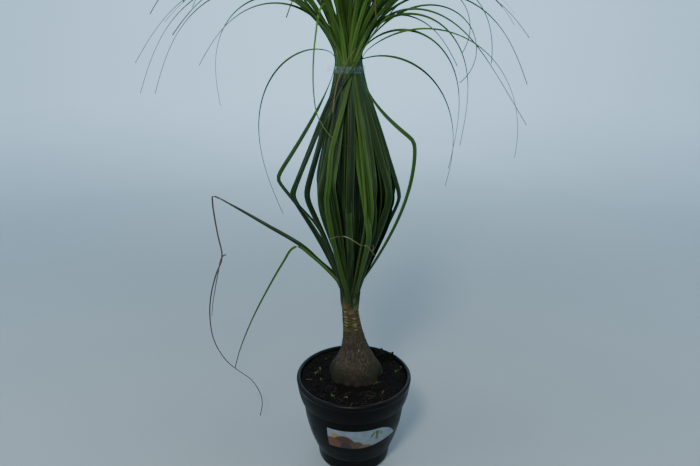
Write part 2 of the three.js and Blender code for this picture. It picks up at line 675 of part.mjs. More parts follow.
const materials = {
  pot: finish(0x17191a, 0.38),
  soil: finish(0x1b1612, 0.95),
  trunk: finish(0x4a4238, 0.85),
  leaf: finish(0x2f4a20, 0.5),
  dryLeaf: finish(0x6a5238, 0.8),
  tape: finish(0xdde4e6, 0.15, { transparent: true, opacity: 0.4 }),
  label: finish(0xc9c7bf, 0.45),
};

function piece(name, geometry, material) {
  const mesh = new THREE.Mesh(geometry, material);
  mesh.name = name;
  return mesh;
}

const plant = new THREE.Group();
plant.add(
  piece('pot', potGeometry(), materials.pot),
  piece('soil', soilGeometry(), materials.soil),
  piece('trunk', toGeometry(mainBody(trunkSolid(0))), materials.trunk),
  piece('leaf_crown', leafCrownGeometry(), materials.leaf),
  piece('dry_leaf_end', dryEndGeometry(), materials.dryLeaf),
  piece('tape_tie', tapeGeometry(), materials.tape),
  piece('label', labelGeometry(), materials.label),
);

export default plant;
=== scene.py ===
# %% [markdown]
# # A ponytail palm in its nursery pot
# The plant has a swollen trunk base, a short scarred neck and about 130 long strap leaves. The leaves
# bow out, are gathered by a band of clear tape, and arch over above it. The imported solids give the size
# and place of everything. Each piece here is a finer one that keeps their form.

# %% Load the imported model
import math
from dataclasses import dataclass, replace
from typing import NamedTuple

import bmesh
import bpy
import numpy as np
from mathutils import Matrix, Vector, noise


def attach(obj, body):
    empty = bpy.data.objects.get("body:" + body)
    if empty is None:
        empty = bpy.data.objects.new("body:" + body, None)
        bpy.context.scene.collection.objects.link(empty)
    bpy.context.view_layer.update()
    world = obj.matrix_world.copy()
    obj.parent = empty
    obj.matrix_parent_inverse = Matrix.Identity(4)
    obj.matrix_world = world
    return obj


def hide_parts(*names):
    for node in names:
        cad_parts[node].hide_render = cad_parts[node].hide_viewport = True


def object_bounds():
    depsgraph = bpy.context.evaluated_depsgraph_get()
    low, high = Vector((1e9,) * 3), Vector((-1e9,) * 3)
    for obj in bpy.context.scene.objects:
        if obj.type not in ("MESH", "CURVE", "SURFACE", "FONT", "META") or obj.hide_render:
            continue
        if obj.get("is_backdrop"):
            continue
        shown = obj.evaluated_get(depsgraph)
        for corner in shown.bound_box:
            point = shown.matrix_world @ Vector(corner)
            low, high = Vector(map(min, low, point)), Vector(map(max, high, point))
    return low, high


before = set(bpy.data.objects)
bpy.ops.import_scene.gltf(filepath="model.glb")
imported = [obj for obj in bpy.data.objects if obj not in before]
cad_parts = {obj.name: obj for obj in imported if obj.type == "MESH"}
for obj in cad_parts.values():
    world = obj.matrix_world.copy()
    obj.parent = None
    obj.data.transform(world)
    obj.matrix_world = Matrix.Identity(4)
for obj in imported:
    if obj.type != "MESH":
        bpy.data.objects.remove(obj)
cad_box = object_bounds()
MM = 0.001
print("nodes:", sorted(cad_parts))

# %% [markdown]
# An operator works on whatever is selected, and loading leaves everything selected. So one helper
# selects exactly what is wanted, and another picks vertices in edit mode by a test on their place. The
# others copy a shape, give a sheet its thickness, write values that a material can read, join shapes,
# and lay a finished object's place into its mesh, which leaves the object itself at the origin.


# %% Helpers for selecting and finishing
def select_only(*objects):
    if bpy.context.mode != "OBJECT":
        bpy.ops.object.mode_set(mode="OBJECT")
    bpy.ops.object.select_all(action="DESELECT")
    for item in objects:
        item.select_set(True)
    bpy.context.view_layer.objects.active = objects[0] if objects else None


def select_vertices(test):
    """In edit mode, selects the active mesh's vertices whose place passes the test."""
    bpy.ops.mesh.select_mode(type="VERT")
    bpy.ops.mesh.select_all(action="DESELECT")
    shape = bmesh.from_edit_mesh(bpy.context.object.data)
    for vertex in shape.verts:
        vertex.select = test(vertex.co)
    shape.select_flush_mode()
    bmesh.update_edit_mesh(bpy.context.object.data)


def copy_of(base):
    """A copy with a mesh of its own."""
    twin = base.copy()
    twin.data = base.data.copy()
    bpy.context.collection.objects.link(twin)
    return twin


def thicken(sheet, thickness, offset=-1):
    """Gives a sheet thickness: behind it at offset -1, half on each side at 0, in front of it at 1."""
    skin = sheet.modifiers.new("thickness", "SOLIDIFY")
    skin.thickness = thickness
    skin.offset = offset


def write_values(item, name, values):
    """Writes one value for all vertices, or one for each, under a name that a material reads."""
    field = item.data.attributes.new(name, "FLOAT", "POINT")
    field.data.foreach_set("value", np.full(len(item.data.vertices), values, dtype=np.float32))


def settle(item, smooth_angle=None):
    """Applies modifiers and place, and shades faces that meet below the angle as one surface."""
    select_only(item)
    for modifier in list(item.modifiers):
        bpy.ops.object.modifier_apply(modifier=modifier.name)
    bpy.ops.object.transform_apply(location=True, rotation=True, scale=True)
    if smooth_angle:
        bpy.ops.object.shade_smooth_by_angle(angle=math.radians(smooth_angle))
    return item


def joined(name, items):
    select_only(*items)
    bpy.ops.object.join()
    whole = bpy.context.object
    whole.name = name
    whole.data.name = name
    print(f"{name}: {len(items)} shapes, {sum(len(f.vertices) - 2 for f in whole.data.polygons)} triangles")
    return whole


select_only()

# %% [markdown]
# The camera stands where the photographer stood: a bit over a metre in front, level with the leaves'
# bulge, and tilted down by 20.5 degrees. The lens was worked out from the ellipses of the pot's rim.

# %% Camera
FOCAL_PIXELS = 640
PHOTO_WIDTH = 700
SENSOR = 36
CAMERA_PLACE = (-0.008, -1.157, 0.944)
CAMERA_DOWN = 20.5
bpy.ops.object.camera_add(location=CAMERA_PLACE, rotation=(math.radians(90 - CAMERA_DOWN), 0, 0))
camera = bpy.context.object
camera.data.sensor_width = SENSOR
camera.data.lens = SENSOR * FOCAL_PIXELS / PHOTO_WIDTH
bpy.context.scene.camera = camera
print(f"camera: {camera.data.lens:.2f} mm lens")

# %% [markdown]
# The studio is one seamless bowl: a round floor whose rim curves up into a low wall all the way round.
# It has no corner, so no line crosses the picture, and it is pale on every side. It could be a plane
# with a separate backdrop, but that would show its back in the other views. The floor is a filled
# circle, and its open edge is extruded and widened step by step to make the cove.

# %% Floor bowl
FLOOR_RADIUS = 3.4
COVE_STEPS = 8
COVE_RADIUS = 1.3
WALL_TOP = 4.2
bpy.ops.mesh.primitive_circle_add(vertices=96, radius=FLOOR_RADIUS, fill_type="TRIFAN")
studio = bpy.context.object
studio.name = "studio_floor"
bpy.ops.object.mode_set(mode="EDIT")
bpy.ops.mesh.select_mode(type="EDGE")
reach, height = FLOOR_RADIUS, 0.0
for step in range(1, COVE_STEPS + 2):
    turn = math.radians(90 * min(step, COVE_STEPS) / COVE_STEPS)
    wide = FLOOR_RADIUS + COVE_RADIUS * math.sin(turn)
    high = COVE_RADIUS * (1 - math.cos(turn)) if step <= COVE_STEPS else WALL_TOP
    bpy.ops.mesh.select_all(action="DESELECT")
    bpy.ops.mesh.select_non_manifold()
    bpy.ops.mesh.extrude_region_move(TRANSFORM_OT_translate={"value": (0, 0, high - height)})
    bpy.ops.transform.resize(value=(wide / reach, wide / reach, 1), center_override=(0, 0, 0))
    reach, height = wide, high
settle(studio, smooth_angle=60)
studio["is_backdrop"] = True
print(f"studio: {2 * reach:.1f} m across, {height:.1f} m high")

# %% [markdown]
# Soft light comes from a lamp above the camera. It is nearer the leaves than the pot, so the plant is
# darker downwards. Two big weak lamps at the sides draw the pale strips down the pot, one behind the
# plant lights its edges, and one lights the far wall. The sky is a pale blue-grey. No lamp shows to the
# camera.

# %% Lights
PLANT_MIDDLE, FAR_WALL = (0, 0, 0.45), (0, 4.4, 1.2)
# Each lamp's name, place, size, power, colour, and what it is aimed at
LAMPS = [
    ("key_light", (-0.35, -1.45, 1.8), 0.4, 32, (1, 0.98, 0.94), PLANT_MIDDLE),
    ("left_light", (-2.2, -0.5, 1.1), 1.6, 16, (0.9, 0.95, 1), PLANT_MIDDLE),
    ("right_light", (2.2, -0.3, 1.1), 1.6, 13, (0.9, 0.95, 1), PLANT_MIDDLE),
    ("back_light", (0.5, 2.4, 2.2), 1.6, 14, (0.92, 0.96, 1), PLANT_MIDDLE),
    ("wall_light", (0, 2.0, 2.3), 1.2, 54, (0.78, 0.92, 1), FAR_WALL),
]
for name, place, size, power, tint, aim in LAMPS:
    bpy.ops.object.light_add(type="AREA", location=place)
    lamp = bpy.context.object
    lamp.name = name
    lamp.data.shape = "DISK"
    lamp.data.size = size
    lamp.data.energy = power
    lamp.data.color = tint
    lamp.visible_camera = False
    lamp.rotation_euler = (Vector(aim) - Vector(place)).to_track_quat("-Z", "Y").to_euler()
world = bpy.data.worlds.new("pale_sky")
world.use_nodes = True
sky = world.node_tree.nodes["Background"].inputs
sky["Color"].default_value = (0.66, 0.76, 0.86, 1)
sky["Strength"].default_value = 0.7
bpy.context.scene.world = world
print("lamps:", ", ".join(name for name, *_ in LAMPS))

# %% [markdown]
# Every finish is built from nodes. A class holds one material while it is made, and each of its methods
# adds one kind of node and gives back that node's output. Colours are written as sRGB hex values, which
# one function turns to the linear values that a shader works in.


# %% Helpers for materials
def colour(text):
    values = [int(text[i : i + 2], 16) / 255 for i in (1, 3, 5)]
    return (*[v / 12.92 if v < 0.04045 else ((v + 0.055) / 1.055) ** 2.4 for v in values], 1)


class Finish:
    """A material in the making, with its shader and its Object coordinates in metres."""

    def __init__(self, name):
        self.material = bpy.data.materials.new(name)
        self.material.use_nodes = True
        self.tree = self.material.node_tree
        self.place = self.add("TexCoord", output="Object")

    def feed(self, socket, value):
        """Links another node's output to a socket, or writes a plain value in it."""
        if isinstance(value, bpy.types.NodeSocket):
            self.tree.links.new(value, socket)
        else:
            socket.default_value = value

    def add(self, kind, inputs=None, output=0, **settings):
        made = self.tree.nodes.new("ShaderNode" + kind)
        for name, value in settings.items():
            setattr(made, name, value)
        for name, value in (inputs or {}).items():
            self.feed(made.inputs[name], value)
        return made.outputs[output]

    def math(self, operation, *values):
        return self.add("Math", dict(enumerate(values)), operation=operation)

    def times(self, a, b):
        return self.math("MULTIPLY", a, b)

    def length(self, vector):
        return self.add("VectorMath", {0: vector}, "Value", operation="LENGTH")

    def parts(self, vector):
        return self.add("SeparateXYZ", {"Vector": vector}).node.outputs

    def attribute(self, name):
        return self.add("Attribute", output="Fac", attribute_name=name)

    def scaled(self, vector, scale):
        return self.add("Mapping", {"Vector": vector, "Scale": scale})

    def noise(self, vector, scale, detail=2):
        return self.add("TexNoise", {"Vector": vector, "Scale": scale, "Detail": detail})

    def spots(self, vector, scale):
        """The distance to the nearest of many scattered points."""
        return self.add("TexVoronoi", {"Vector": vector, "Scale": scale})

    def ranged(self, value, low, high, first, last, kind="LINEAR"):
        """The first result at the low value and the last one at the high value, and no further."""
        inputs = {"Value": value, "From Min": low, "From Max": high, "To Min": first, "To Max": last}
        return self.add("MapRange", inputs, interpolation_type=kind)

    def between(self, value, low, high, strength=1.0):
        """0 before the low value and the strength past the high one, which may be the lower number."""
        return self.ranged(value, low, high, 0, strength, "SMOOTHSTEP")

    def ramp(self, factor, stops):
        """Colours blended along a line from 0 to 1, given as (position, hex) pairs."""
        blended = self.add("ValToRGB", {"Fac": factor})
        elements = blended.node.color_ramp.elements
        while len(elements) < len(stops):
            elements.new(0.5)
        for element, (position, text) in zip(elements, stops):
            element.position = position
            element.color = colour(text)
        return blended

    def over(self, under, layers):
        """A colour with layers over it, each a share and a hex value or another colour output."""
        for share, top in layers:
            top = colour(top) if isinstance(top, str) else top
            under = self.add("MixRGB", {"Fac": share, "Color1": under, "Color2": top})
        return under

    def bump(self, height, strength, depth_mm, **under):
        return self.add("Bump", {"Height": height, "Strength": strength, "Distance": depth_mm * MM, **under})

    def shade(self, **values):
        """Sets the shader's own inputs. A name has _ where the input's has a space."""
        for name, value in values.items():
            self.feed(self.tree.nodes["Principled BSDF"].inputs[name.replace("_", " ")], value)


def paint(item, finish):
    """Gives a finished piece its material and its body."""
    item.data.materials.clear()
    item.data.materials.append(finish.material)
    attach(item, "root")
    print(f"{item.name}: {finish.material.name}")


# %% [markdown]
# The floor is painted board: pale grey, matt, with a faint unevenness so that it doesn't look like empty
# space. It is painted lighter and bluer farther from the middle and up the wall, which is painted light, so
# that the background is brightest there.

# %% Painted board
board = Finish("painted_board")
# Painted light: the colour turns lighter and bluer with distance from the middle and up the wall
painted_light_outwards = board.ranged(board.length(board.place), 0.3, 5.2, 0, 1)
uneven = board.math("MULTIPLY_ADD", board.noise(board.place, 3, 4), 0.06, painted_light_outwards)
board_colour_with_painted_light = board.ramp(uneven, [(0.03, "#8f999d"), (0.4, "#a0b4be"), (0.8, "#d6edfc")])
board.shade(Base_Color=board_colour_with_painted_light, Roughness=0.85)
studio.data.materials.append(board.material)

# %% [markdown]
# ## The pot
# A nursery pot is blown or injection moulded from polypropylene, so it is a turned shape of even wall:
# a foot, a bell-shaped body, a skirt that hangs from the rim, and a fat rounded lip. Its outline could
# be lathed with a Screw modifier. Here it is drawn by extruding one vertex from point to point, and then
# spun once round, which keeps every height under control.


# %% Helpers for turned shapes
def mix(a, b, share):
    return a + (b - a) * share


def rounded(start, control, end, steps=5):
    """Points after start on the curve that starts towards control and comes in from it."""
    shares = [(k + 1) / steps for k in range(steps)]
    return [tuple(mix(mix(s, c, t), mix(c, e, t), t) for s, c, e in zip(start, control, end)) for t in shares]


def spun(name, outline, steps):
    """A turned shape about +Z from an outline of (radius, height) points in millimetres."""
    points = [Vector((r * MM, 0, z * MM)) for r, z in outline]
    select_only()
    bpy.ops.mesh.primitive_plane_add(size=0.01)
    shape = bpy.context.object
    shape.name = name
    bpy.ops.object.mode_set(mode="EDIT")
    bpy.ops.mesh.select_mode(type="VERT")
    bpy.ops.mesh.merge(type="CENTER")
    bpy.ops.transform.translate(value=points[0])
    for here, there in zip(points, points[1:]):
        bpy.ops.mesh.extrude_region_move(TRANSFORM_OT_translate={"value": there - here})
    bpy.ops.mesh.select_all(action="SELECT")
    bpy.ops.mesh.spin(steps=steps, angle=2 * math.pi, center=(0, 0, 0), axis=(0, 0, 1))
    bpy.ops.mesh.select_all(action="SELECT")
    bpy.ops.mesh.remove_doubles(threshold=1e-6)
    bpy.ops.mesh.normals_make_consistent(inside=False)
    bpy.ops.object.mode_set(mode="OBJECT")
    print(f"{name}: {len(points)} outline points, {len(shape.data.polygons)} faces")
    return shape


# %% Pot outline
WALL, FLOOR = 2.2, 3
FOOT_R, FOOT_TOP_R, FOOT_H, FOOT_CORNER = 74.5, 79, 34, 9
BODY_Z, BODY_R, NECK_RING_Z, NECK_RING_R, BODY_CURVE = 38, 82, 150, 106, 1.9
SKIRT_R, SKIRT_TOP_Z, LIP_Z, POT_H, OPENING_R = 112, 185, 191, 196.5, 110.8
SKIRT_INSIDE = [(116, SKIRT_TOP_Z), (115, 168.5), (110, NECK_RING_Z + 1)]
# The skirt's outer face and the lip, each curve as a control point and an end point
LIP_CURVES = [((118, 168.5), (118.6, 186)), ((120.6, 190), (119.4, 194)), ((118, POT_H), (115.5, POT_H)),
              ((111.2, POT_H), (OPENING_R, LIP_Z))]
RIB_Z, RIB_DEPTH, RIB_HALF_WIDE = (66, 72), 0.3, 1.2


def wall_radius(z):
    if z <= FOOT_H:
        return mix(FOOT_R, FOOT_TOP_R, z / FOOT_H)
    if z <= BODY_Z:
        return mix(FOOT_TOP_R, BODY_R, (z - FOOT_H) / (BODY_Z - FOOT_H))
    if z <= NECK_RING_Z:
        rise = (z - BODY_Z) / (NECK_RING_Z - BODY_Z)
        return mix(BODY_R, NECK_RING_R, 1 - (1 - rise) ** BODY_CURVE)
    return mix(NECK_RING_R, OPENING_R + WALL, (z - NECK_RING_Z) / (LIP_Z - NECK_RING_Z))


def rib(z):
    """The faint moulded ribs on the lower body."""
    return RIB_DEPTH * sum(math.exp(-(((z - at) / RIB_HALF_WIDE) ** 2)) for at in RIB_Z)


body = [(wall_radius(z) + rib(z), z) for z in np.arange(BODY_Z + 2, NECK_RING_Z, 2)]
inside = [(wall_radius(z) - WALL, z) for z in np.linspace(NECK_RING_Z, BODY_Z, 24)]
pot_outline = [(0, 0), (66, 0), (FOOT_R - FOOT_CORNER, 0)]
pot_outline += rounded((FOOT_R - FOOT_CORNER, 0), (FOOT_R, 0), (wall_radius(FOOT_CORNER), FOOT_CORNER))
pot_outline += [(wall_radius(z), z) for z in (20, FOOT_H - 1)]
pot_outline += [(FOOT_TOP_R, FOOT_H), (BODY_R - 1, BODY_Z - 0.6)]
pot_outline += body + [(NECK_RING_R, NECK_RING_Z), (wall_radius(SKIRT_TOP_Z), SKIRT_TOP_Z)]
pot_outline += SKIRT_INSIDE + [(SKIRT_R, NECK_RING_Z)]
for control, end in LIP_CURVES:
    pot_outline += rounded(pot_outline[-1], control, end, 7)
pot_outline += inside + [(FOOT_TOP_R - WALL, FOOT_H), (wall_radius(FLOOR) - WALL, FLOOR), (0, FLOOR)]
pot = spun("pot_shell", pot_outline, 144)

# %% [markdown]
# Water leaves by six holes through the floor. A ring of six pins is made once and taken away from the
# pot with a Boolean modifier.

# %% Drain holes
DRAIN_COUNT, DRAIN_START, DRAIN_R, DRAIN_RING_R = 6, 30, 6, 56
pins = []
for i in range(DRAIN_COUNT):
    turn = math.radians(DRAIN_START + 360 / DRAIN_COUNT * i)
    centre = Vector((DRAIN_RING_R * math.cos(turn), DRAIN_RING_R * math.sin(turn), FLOOR / 2)) * MM
    bpy.ops.mesh.primitive_cylinder_add(vertices=24, radius=DRAIN_R * MM, depth=4 * FLOOR * MM,
                                        location=centre)
    pins.append(bpy.context.object)
cutter = joined("drain_pins", pins)
holes = pot.modifiers.new("drains", "BOOLEAN")
holes.operation = "DIFFERENCE"
holes.object = cutter
holes.solver = "EXACT"
settle(pot, smooth_angle=32)
bpy.data.objects.remove(cutter)
print("pot with holes:", len(pot.data.polygons), "faces")

# %% [markdown]
# The plastic is black polypropylene straight from the mould. It is dark and even, with a soft sheen, a
# fine grain from the tool, and thin dust and water marks that run down and dull it in places. Its index
# of refraction is 1.49. It reflects a little less than clean plastic because of the grain.

# %% Black moulded polypropylene
plastic = Finish("black_polypropylene")
# Dust film: patches about 25 mm across, stretched down the wall
film = plastic.noise(plastic.scaled(plastic.place, (40, 40, 14)), 1, 5)
film_colour = plastic.ramp(film, [(0.35, "#070605"), (0.6, "#0b0a08"), (0.8, "#151310")])
# Specks of dust, about 1.5 mm, drawn larger than life so that they show
specks = plastic.ranged(plastic.spots(plastic.place, 160), 0.1, 0.03, 0, 0.25)
# Tool grain, 0.7 mm
grain = plastic.noise(plastic.place, 1400)
plastic.shade(Base_Color=plastic.over(film_colour, [(specks, "#26231e")]), IOR=1.49, Specular_IOR_Level=0.13,
              Roughness=plastic.ranged(film, 0.3, 0.75, 0.3, 0.5), Normal=plastic.bump(grain, 0.12, 0.2))
paint(pot, plastic)
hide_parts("pot")

# %% [markdown]
# ## The soil
# The mix is peat with composted bark: nearly black, crumbly, higher at the trunk and heaped at the back
# right, where it reaches the rim. A turned body fills the pot. Its top has a fine mesh that noise of
# three sizes roughens, because real clods come in many sizes. Loose crumbs then lie on it.

# %% Soil body
SOIL_EDGE_Z, SOIL_RISE, SOIL_GAP = 190, 4, 0.3
HEAP_ANGLE, HEAP_R, HEAP_H, HEAP_WIDTH = 48, 98, 7, 22
CLOD_SIZES = ((11, 1.6), (4.5, 1.3), (1.9, 0.7))
heap_x = HEAP_R * math.cos(math.radians(HEAP_ANGLE))
heap_y = HEAP_R * math.sin(math.radians(HEAP_ANGLE))
soil_edge = wall_radius(SOIL_EDGE_Z - 2) - WALL - SOIL_GAP


def ground(x, y):
    """The height of the rough soil surface, in millimetres: a rise to the trunk, the heap and the clods."""
    heap = HEAP_H * math.exp(-((x - heap_x) ** 2 + (y - heap_y) ** 2) / HEAP_WIDTH**2)
    clods = sum(depth * noise.noise(Vector((x / size, y / size, 7 * k)))
                for k, (size, depth) in enumerate(CLOD_SIZES))
    return SOIL_EDGE_Z + SOIL_RISE * (1 - math.hypot(x, y) / OPENING_R) + heap + clods


low = FLOOR + SOIL_GAP
soil_outline = [(0, low), (wall_radius(low) - WALL - SOIL_GAP, low), (FOOT_TOP_R - WALL - SOIL_GAP, FOOT_H)]
soil_outline += [(wall_radius(z) - WALL - SOIL_GAP, z) for z in np.linspace(BODY_Z, NECK_RING_Z, 8)]
soil_outline += [(soil_edge, SOIL_EDGE_Z - 2)]
soil_outline += [(r, SOIL_EDGE_Z) for r in np.arange(soil_edge - 0.4, 30, -1.7)] + [(0, SOIL_EDGE_Z)]
soil = spun("soil_body", soil_outline, 240)
for vertex in soil.data.vertices:
    x, y, z = vertex.co / MM
    if z > SOIL_EDGE_Z - 1:
        vertex.co.z = ground(x, y) * MM
settle(soil, smooth_angle=40)

# %% [markdown]
# Peat is almost black when damp and quite matt. Its colour is one ramp over two sizes of noise, plus a
# value called tone that each loose crumb carries, so that neighbours differ.


# %% Damp peat and bark
def speckled(name, stops, coarse_mm, fine_mm, rough, bump_mm):
    """A matt natural finish: two sizes of noise and each shape's own tone pick from a ramp."""
    skin = Finish(name)
    coarse = skin.noise(skin.place, 1000 / coarse_mm, 3)
    fine = skin.noise(skin.place, 1000 / fine_mm, 4)
    sizes = skin.times(skin.math("ADD", coarse, fine), 0.25)
    pick = skin.math("MULTIPLY_ADD", skin.attribute("tone"), 0.5, sizes)
    skin.shade(Base_Color=skin.ramp(pick, stops), Normal=skin.bump(fine, 0.6, bump_mm), Roughness=rough,
               Specular_IOR_Level=0.12)
    return skin


PEAT_STOPS = [(0.2, "#040303"), (0.4, "#0a0807"), (0.55, "#15100b"), (0.72, "#2a1d12"), (0.9, "#5c523c")]
peat = speckled("damp_peat_and_bark", PEAT_STOPS, 9, 1.6, 0.9, 0.6)
write_values(soil, "tone", 0.18)
paint(soil, peat)
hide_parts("soil")

# %% [markdown]
# Loose crumbs are one lump and one flat bark chip, each made once and copied. A lump starts as an
# icosphere of 20 faces and a chip as a cube whose ends are narrowed, and both have few faces, because
# there are hundreds. Every random draw comes from a seeded generator, so the bed is the same each run.

# %% Rules that place loose crumbs
CRUMBS, HEAP_CRUMBS, RIM_CLODS, CHIPS, LITTER_REACH = 1100, 80, 14, 260, 107
# Heading round the rim and size of the biggest clods on it
BIG_CLODS = ((57, 6), (51, 5.5), (42, 7.5))
draws = np.random.default_rng(11)


def any_turn():
    return draws.uniform(0, 6.28)


def copies(base, count, place_copy):
    """Copies of one shape, each with its own tone, placed by a rule."""
    made = []
    for i in range(count):
        made.append(copy_of(base))
        write_values(made[-1], "tone", place_copy(i, made[-1]))
    return made


def on_soil(twin, x, y, size, flat=1.0, sink=0.3):
    twin.location = (x * MM, y * MM, (ground(x, y) + size * (0.5 - sink) * flat) * MM)
    twin.scale = (size * MM, size * MM * draws.uniform(0.6, 1), size * MM * flat * draws.uniform(0.6, 1))
    twin.rotation_euler = (draws.uniform(-0.5, 0.5), draws.uniform(-0.5, 0.5), any_turn())


def free_spot(inner=50, outer=LITTER_REACH):
    """A random place on the soil's ring between the trunk and the wall."""
    turn = draws.uniform(0, 2 * math.pi)
    r = math.sqrt(draws.uniform(inner**2, outer**2))
    return 2 + r * math.cos(turn), (3 if r < 100 else 0) + r * math.sin(turn)


def inside_pot(x, y, limit=107.5):
    far = math.hypot(x, y)
    return (x, y) if far < limit else (x * limit / far, y * limit / far)


def place_crumb(i, twin):
    pale = draws.random() < 0.2
    size = draws.uniform(1.0, 2.2) if pale else 1.3 + 4.2 * draws.random() ** 3
    on_soil(twin, *inside_pot(*free_spot()), size)
    return draws.uniform(0.7, 1.1) if pale else draws.uniform(0.05, 0.5)


def place_heap_crumb(i, twin):
    x, y = heap_x + 13 * draws.normal(), heap_y + 11 * draws.normal()
    on_soil(twin, *inside_pot(x, y, 109), 3 + 6 * draws.random() ** 2, sink=0.1)
    return draws.uniform(0.0, 0.4)


def place_rim_clod(i, twin):
    """A clod that lies on the flat of the rim, behind the heap."""
    heading, size = BIG_CLODS[i] if i < len(BIG_CLODS) else (draws.uniform(34, 76), draws.uniform(2, 4.5))
    r, turn = draws.uniform(111, 116), math.radians(heading)
    twin.location = (r * MM * math.cos(turn), r * MM * math.sin(turn), (POT_H + 0.3 * size) * MM)
    twin.scale = (size * MM, size * MM * draws.uniform(0.6, 1), size * MM * draws.uniform(0.6, 0.9))
    twin.rotation_euler = (0, 0, any_turn())
    return draws.uniform(0.0, 0.3)


def place_chip(i, twin):
    on_soil(twin, *inside_pot(*free_spot(), 104), 2.5 + 5 * draws.random() ** 2, flat=0.35, sink=0.2)
    return draws.uniform(0.2, 0.6) if draws.random() < 0.9 else 0.8


# %% Loose crumbs
bpy.ops.mesh.primitive_ico_sphere_add(subdivisions=1, radius=0.5)
lump = bpy.context.object
for vertex in lump.data.vertices:
    vertex.co *= 1 + 0.35 * noise.noise(vertex.co * 5)
bpy.ops.mesh.primitive_cube_add(size=1)
chip = bpy.context.object
chip.scale = (1, 0.45, 1)
bpy.ops.object.transform_apply(scale=True)
bpy.ops.object.mode_set(mode="EDIT")
bpy.ops.mesh.subdivide(number_cuts=1)
select_vertices(lambda co: abs(co.x) > 0.4)
bpy.ops.transform.resize(value=(1, 0.5, 0.3), center_override=(0, 0, 0))
bpy.ops.object.mode_set(mode="OBJECT")
crumbs = copies(lump, CRUMBS, place_crumb) + copies(lump, HEAP_CRUMBS, place_heap_crumb)
crumbs += copies(lump, RIM_CLODS, place_rim_clod) + copies(chip, CHIPS, place_chip)
bpy.data.objects.remove(lump)
bpy.data.objects.remove(chip)
crumbs = settle(joined("soil_crumbs", crumbs))
paint(crumbs, peat)

# %% [markdown]
# ## The trunk
# The base swells to the size of a grapefruit, stands a third in the soil and tapers to a neck where
# each fallen leaf left a crescent scar. It is turned like the pot from a finer outline, with closer rows
# on the neck. Then each vertex moves out or in by a sum of simple rules: broad swellings, corky furrows
# that run up the base, lumps where old roots leave at the soil line, and scars in columns on the neck.
# The lumps and scars also write an attribute each, so that the bark can take another colour there.


# %% Helpers for smooth and uneven shapes
def draw(i, k):
    """A number from 0 to 1 that looks random but is always the same for the same i and k."""
    v = math.sin(i * 12.9898 + k * 78.233 + 4.1) * 43758.5453
    return v - math.floor(v)


def spread(i, k):
    return 2 * draw(i, k) - 1


def smooth(x):
    x = min(1.0, max(0.0, x))
    return x * x * (3 - 2 * x)


def angle_between(turn, other):
    return (turn - other + math.pi) % (2 * math.pi) - math.pi


def through(points, pieces, power=0.5):
    """Points along the smooth curve that passes through those given (a centripetal Catmull-Rom spline)."""
    line = [Vector(p) for p in points]
    line = [2 * line[0] - line[1], *line, 2 * line[-1] - line[-2]]
    path = []
    for a, b, c, d in zip(line, line[1:], line[2:], line[3:]):
        t1 = (b - a).length ** power
        t2 = t1 + (c - b).length ** power
        t3 = t2 + (d - c).length ** power
        for t in np.linspace(t1, t2, pieces, endpoint=False):
            ab, bc, cd = a.lerp(b, t / t1), b.lerp(c, (t - t1) / (t2 - t1)), c.lerp(d, (t - t2) / (t3 - t2))
            abc, bcd = ab.lerp(bc, t / t2), bc.lerp(cd, (t - t1) / (t3 - t1))
            path.append(abc.lerp(bcd, (t - t1) / (t2 - t1)))
    return path + [line[-2]]


# %% What stands out from the trunk
TRUNK_X, TRUNK_Y, TRUNK_LEAN, LEAN_FROM_Z, LEAN_OVER, TRUNK_TOP_Z = 4, 14, -12.4, 225, 135, 344.7
# Swellings of the base: share of the radius, number round, and start in radians
SWELLINGS = ((0.035, 5, 0.7), (0.022, 8, 2))
# The swellings and the furrows fade out upwards, and the wrinkles fade in: from this height, over this way
SWELLING_FADE, FURROW_FADE, WRINKLE_FADE = (188, 60), (262, 45), (255, 20)
FURROW_DEPTH, KNOB_DEPTH, WRINKLE_DEPTH, LUMP_SHARE, FULL_LUMP = 0.75, 0.5, 0.35, 0.6, 2.5
SCAR_LOW_Z, SCAR_TOP_Z, SCAR_PITCH, SCAR_COLUMNS, FIRST_COLUMN = 295, 348, 6.2, 6, -66
SCAR_HALF_WIDE, SCAR_HALF_TALL, SCAR_SAG, SCAR_DEPTH = 7.2, 2.1, 0.045, 0.9
# Lumps of old roots: heading, height and size
ROOT_LUMPS = [(-171, 195, 4), (-153, 195, 4.5), (-131, 194, 4), (-108, 194, 6), (-87, 194, 6), (-70, 193, 4),
              (-58, 195, 5), (-41, 195, 5), (-13, 196, 4.5), (20, 193, 4), (70, 193, 5), (120, 194, 5)]


def axis_x(z):
    return TRUNK_X + TRUNK_LEAN * smooth((z - LEAN_FROM_Z) / LEAN_OVER)


def leaf_scar(z, turn, radius):
    """From 0 off the scars to about 1 in the middle of one. A scar's middle hangs lower than its ends."""
    if z < SCAR_LOW_Z - 4:
        return 0
    most = 0
    for column in range(SCAR_COLUMNS):
        off = radius * angle_between(turn, math.radians(FIRST_COLUMN + column * 360 / SCAR_COLUMNS))
        if abs(off) > SCAR_HALF_WIDE:
            continue
        shift = 0.5 * (column % 2)
        row = round((z - SCAR_SAG * off**2 - SCAR_LOW_Z) / SCAR_PITCH - shift)
        key = row + 31 * column
        middle = SCAR_LOW_Z + (row + shift) * SCAR_PITCH + 0.7 * spread(key, 80)
        wide = SCAR_HALF_WIDE * (0.7 + 0.3 * draw(key, 83))
        if abs(off) > wide or middle < SCAR_LOW_Z + 14 * draw(column, 81) or middle > SCAR_TOP_Z:
            continue
        lens = 1 - (off / wide) ** 2
        up = (z - SCAR_SAG * off**2 - middle) / (SCAR_HALF_TALL * max(0.2, lens))
        most = max(most, (0.2 + 0.8 * draw(key, 82)) * lens**0.5 * math.exp(-(up**4)))
    return most


def root_lump(z, turn, radius):
    """How far the lumps of old roots stand out, in millimetres."""
    out = 0
    for heading, lump_z, size in ROOT_LUMPS:
        off = angle_between(turn, math.radians(heading)) * radius
        out += LUMP_SHARE * size * math.exp(-((off / size) ** 2) - ((z - lump_z) / size) ** 2)
    return out


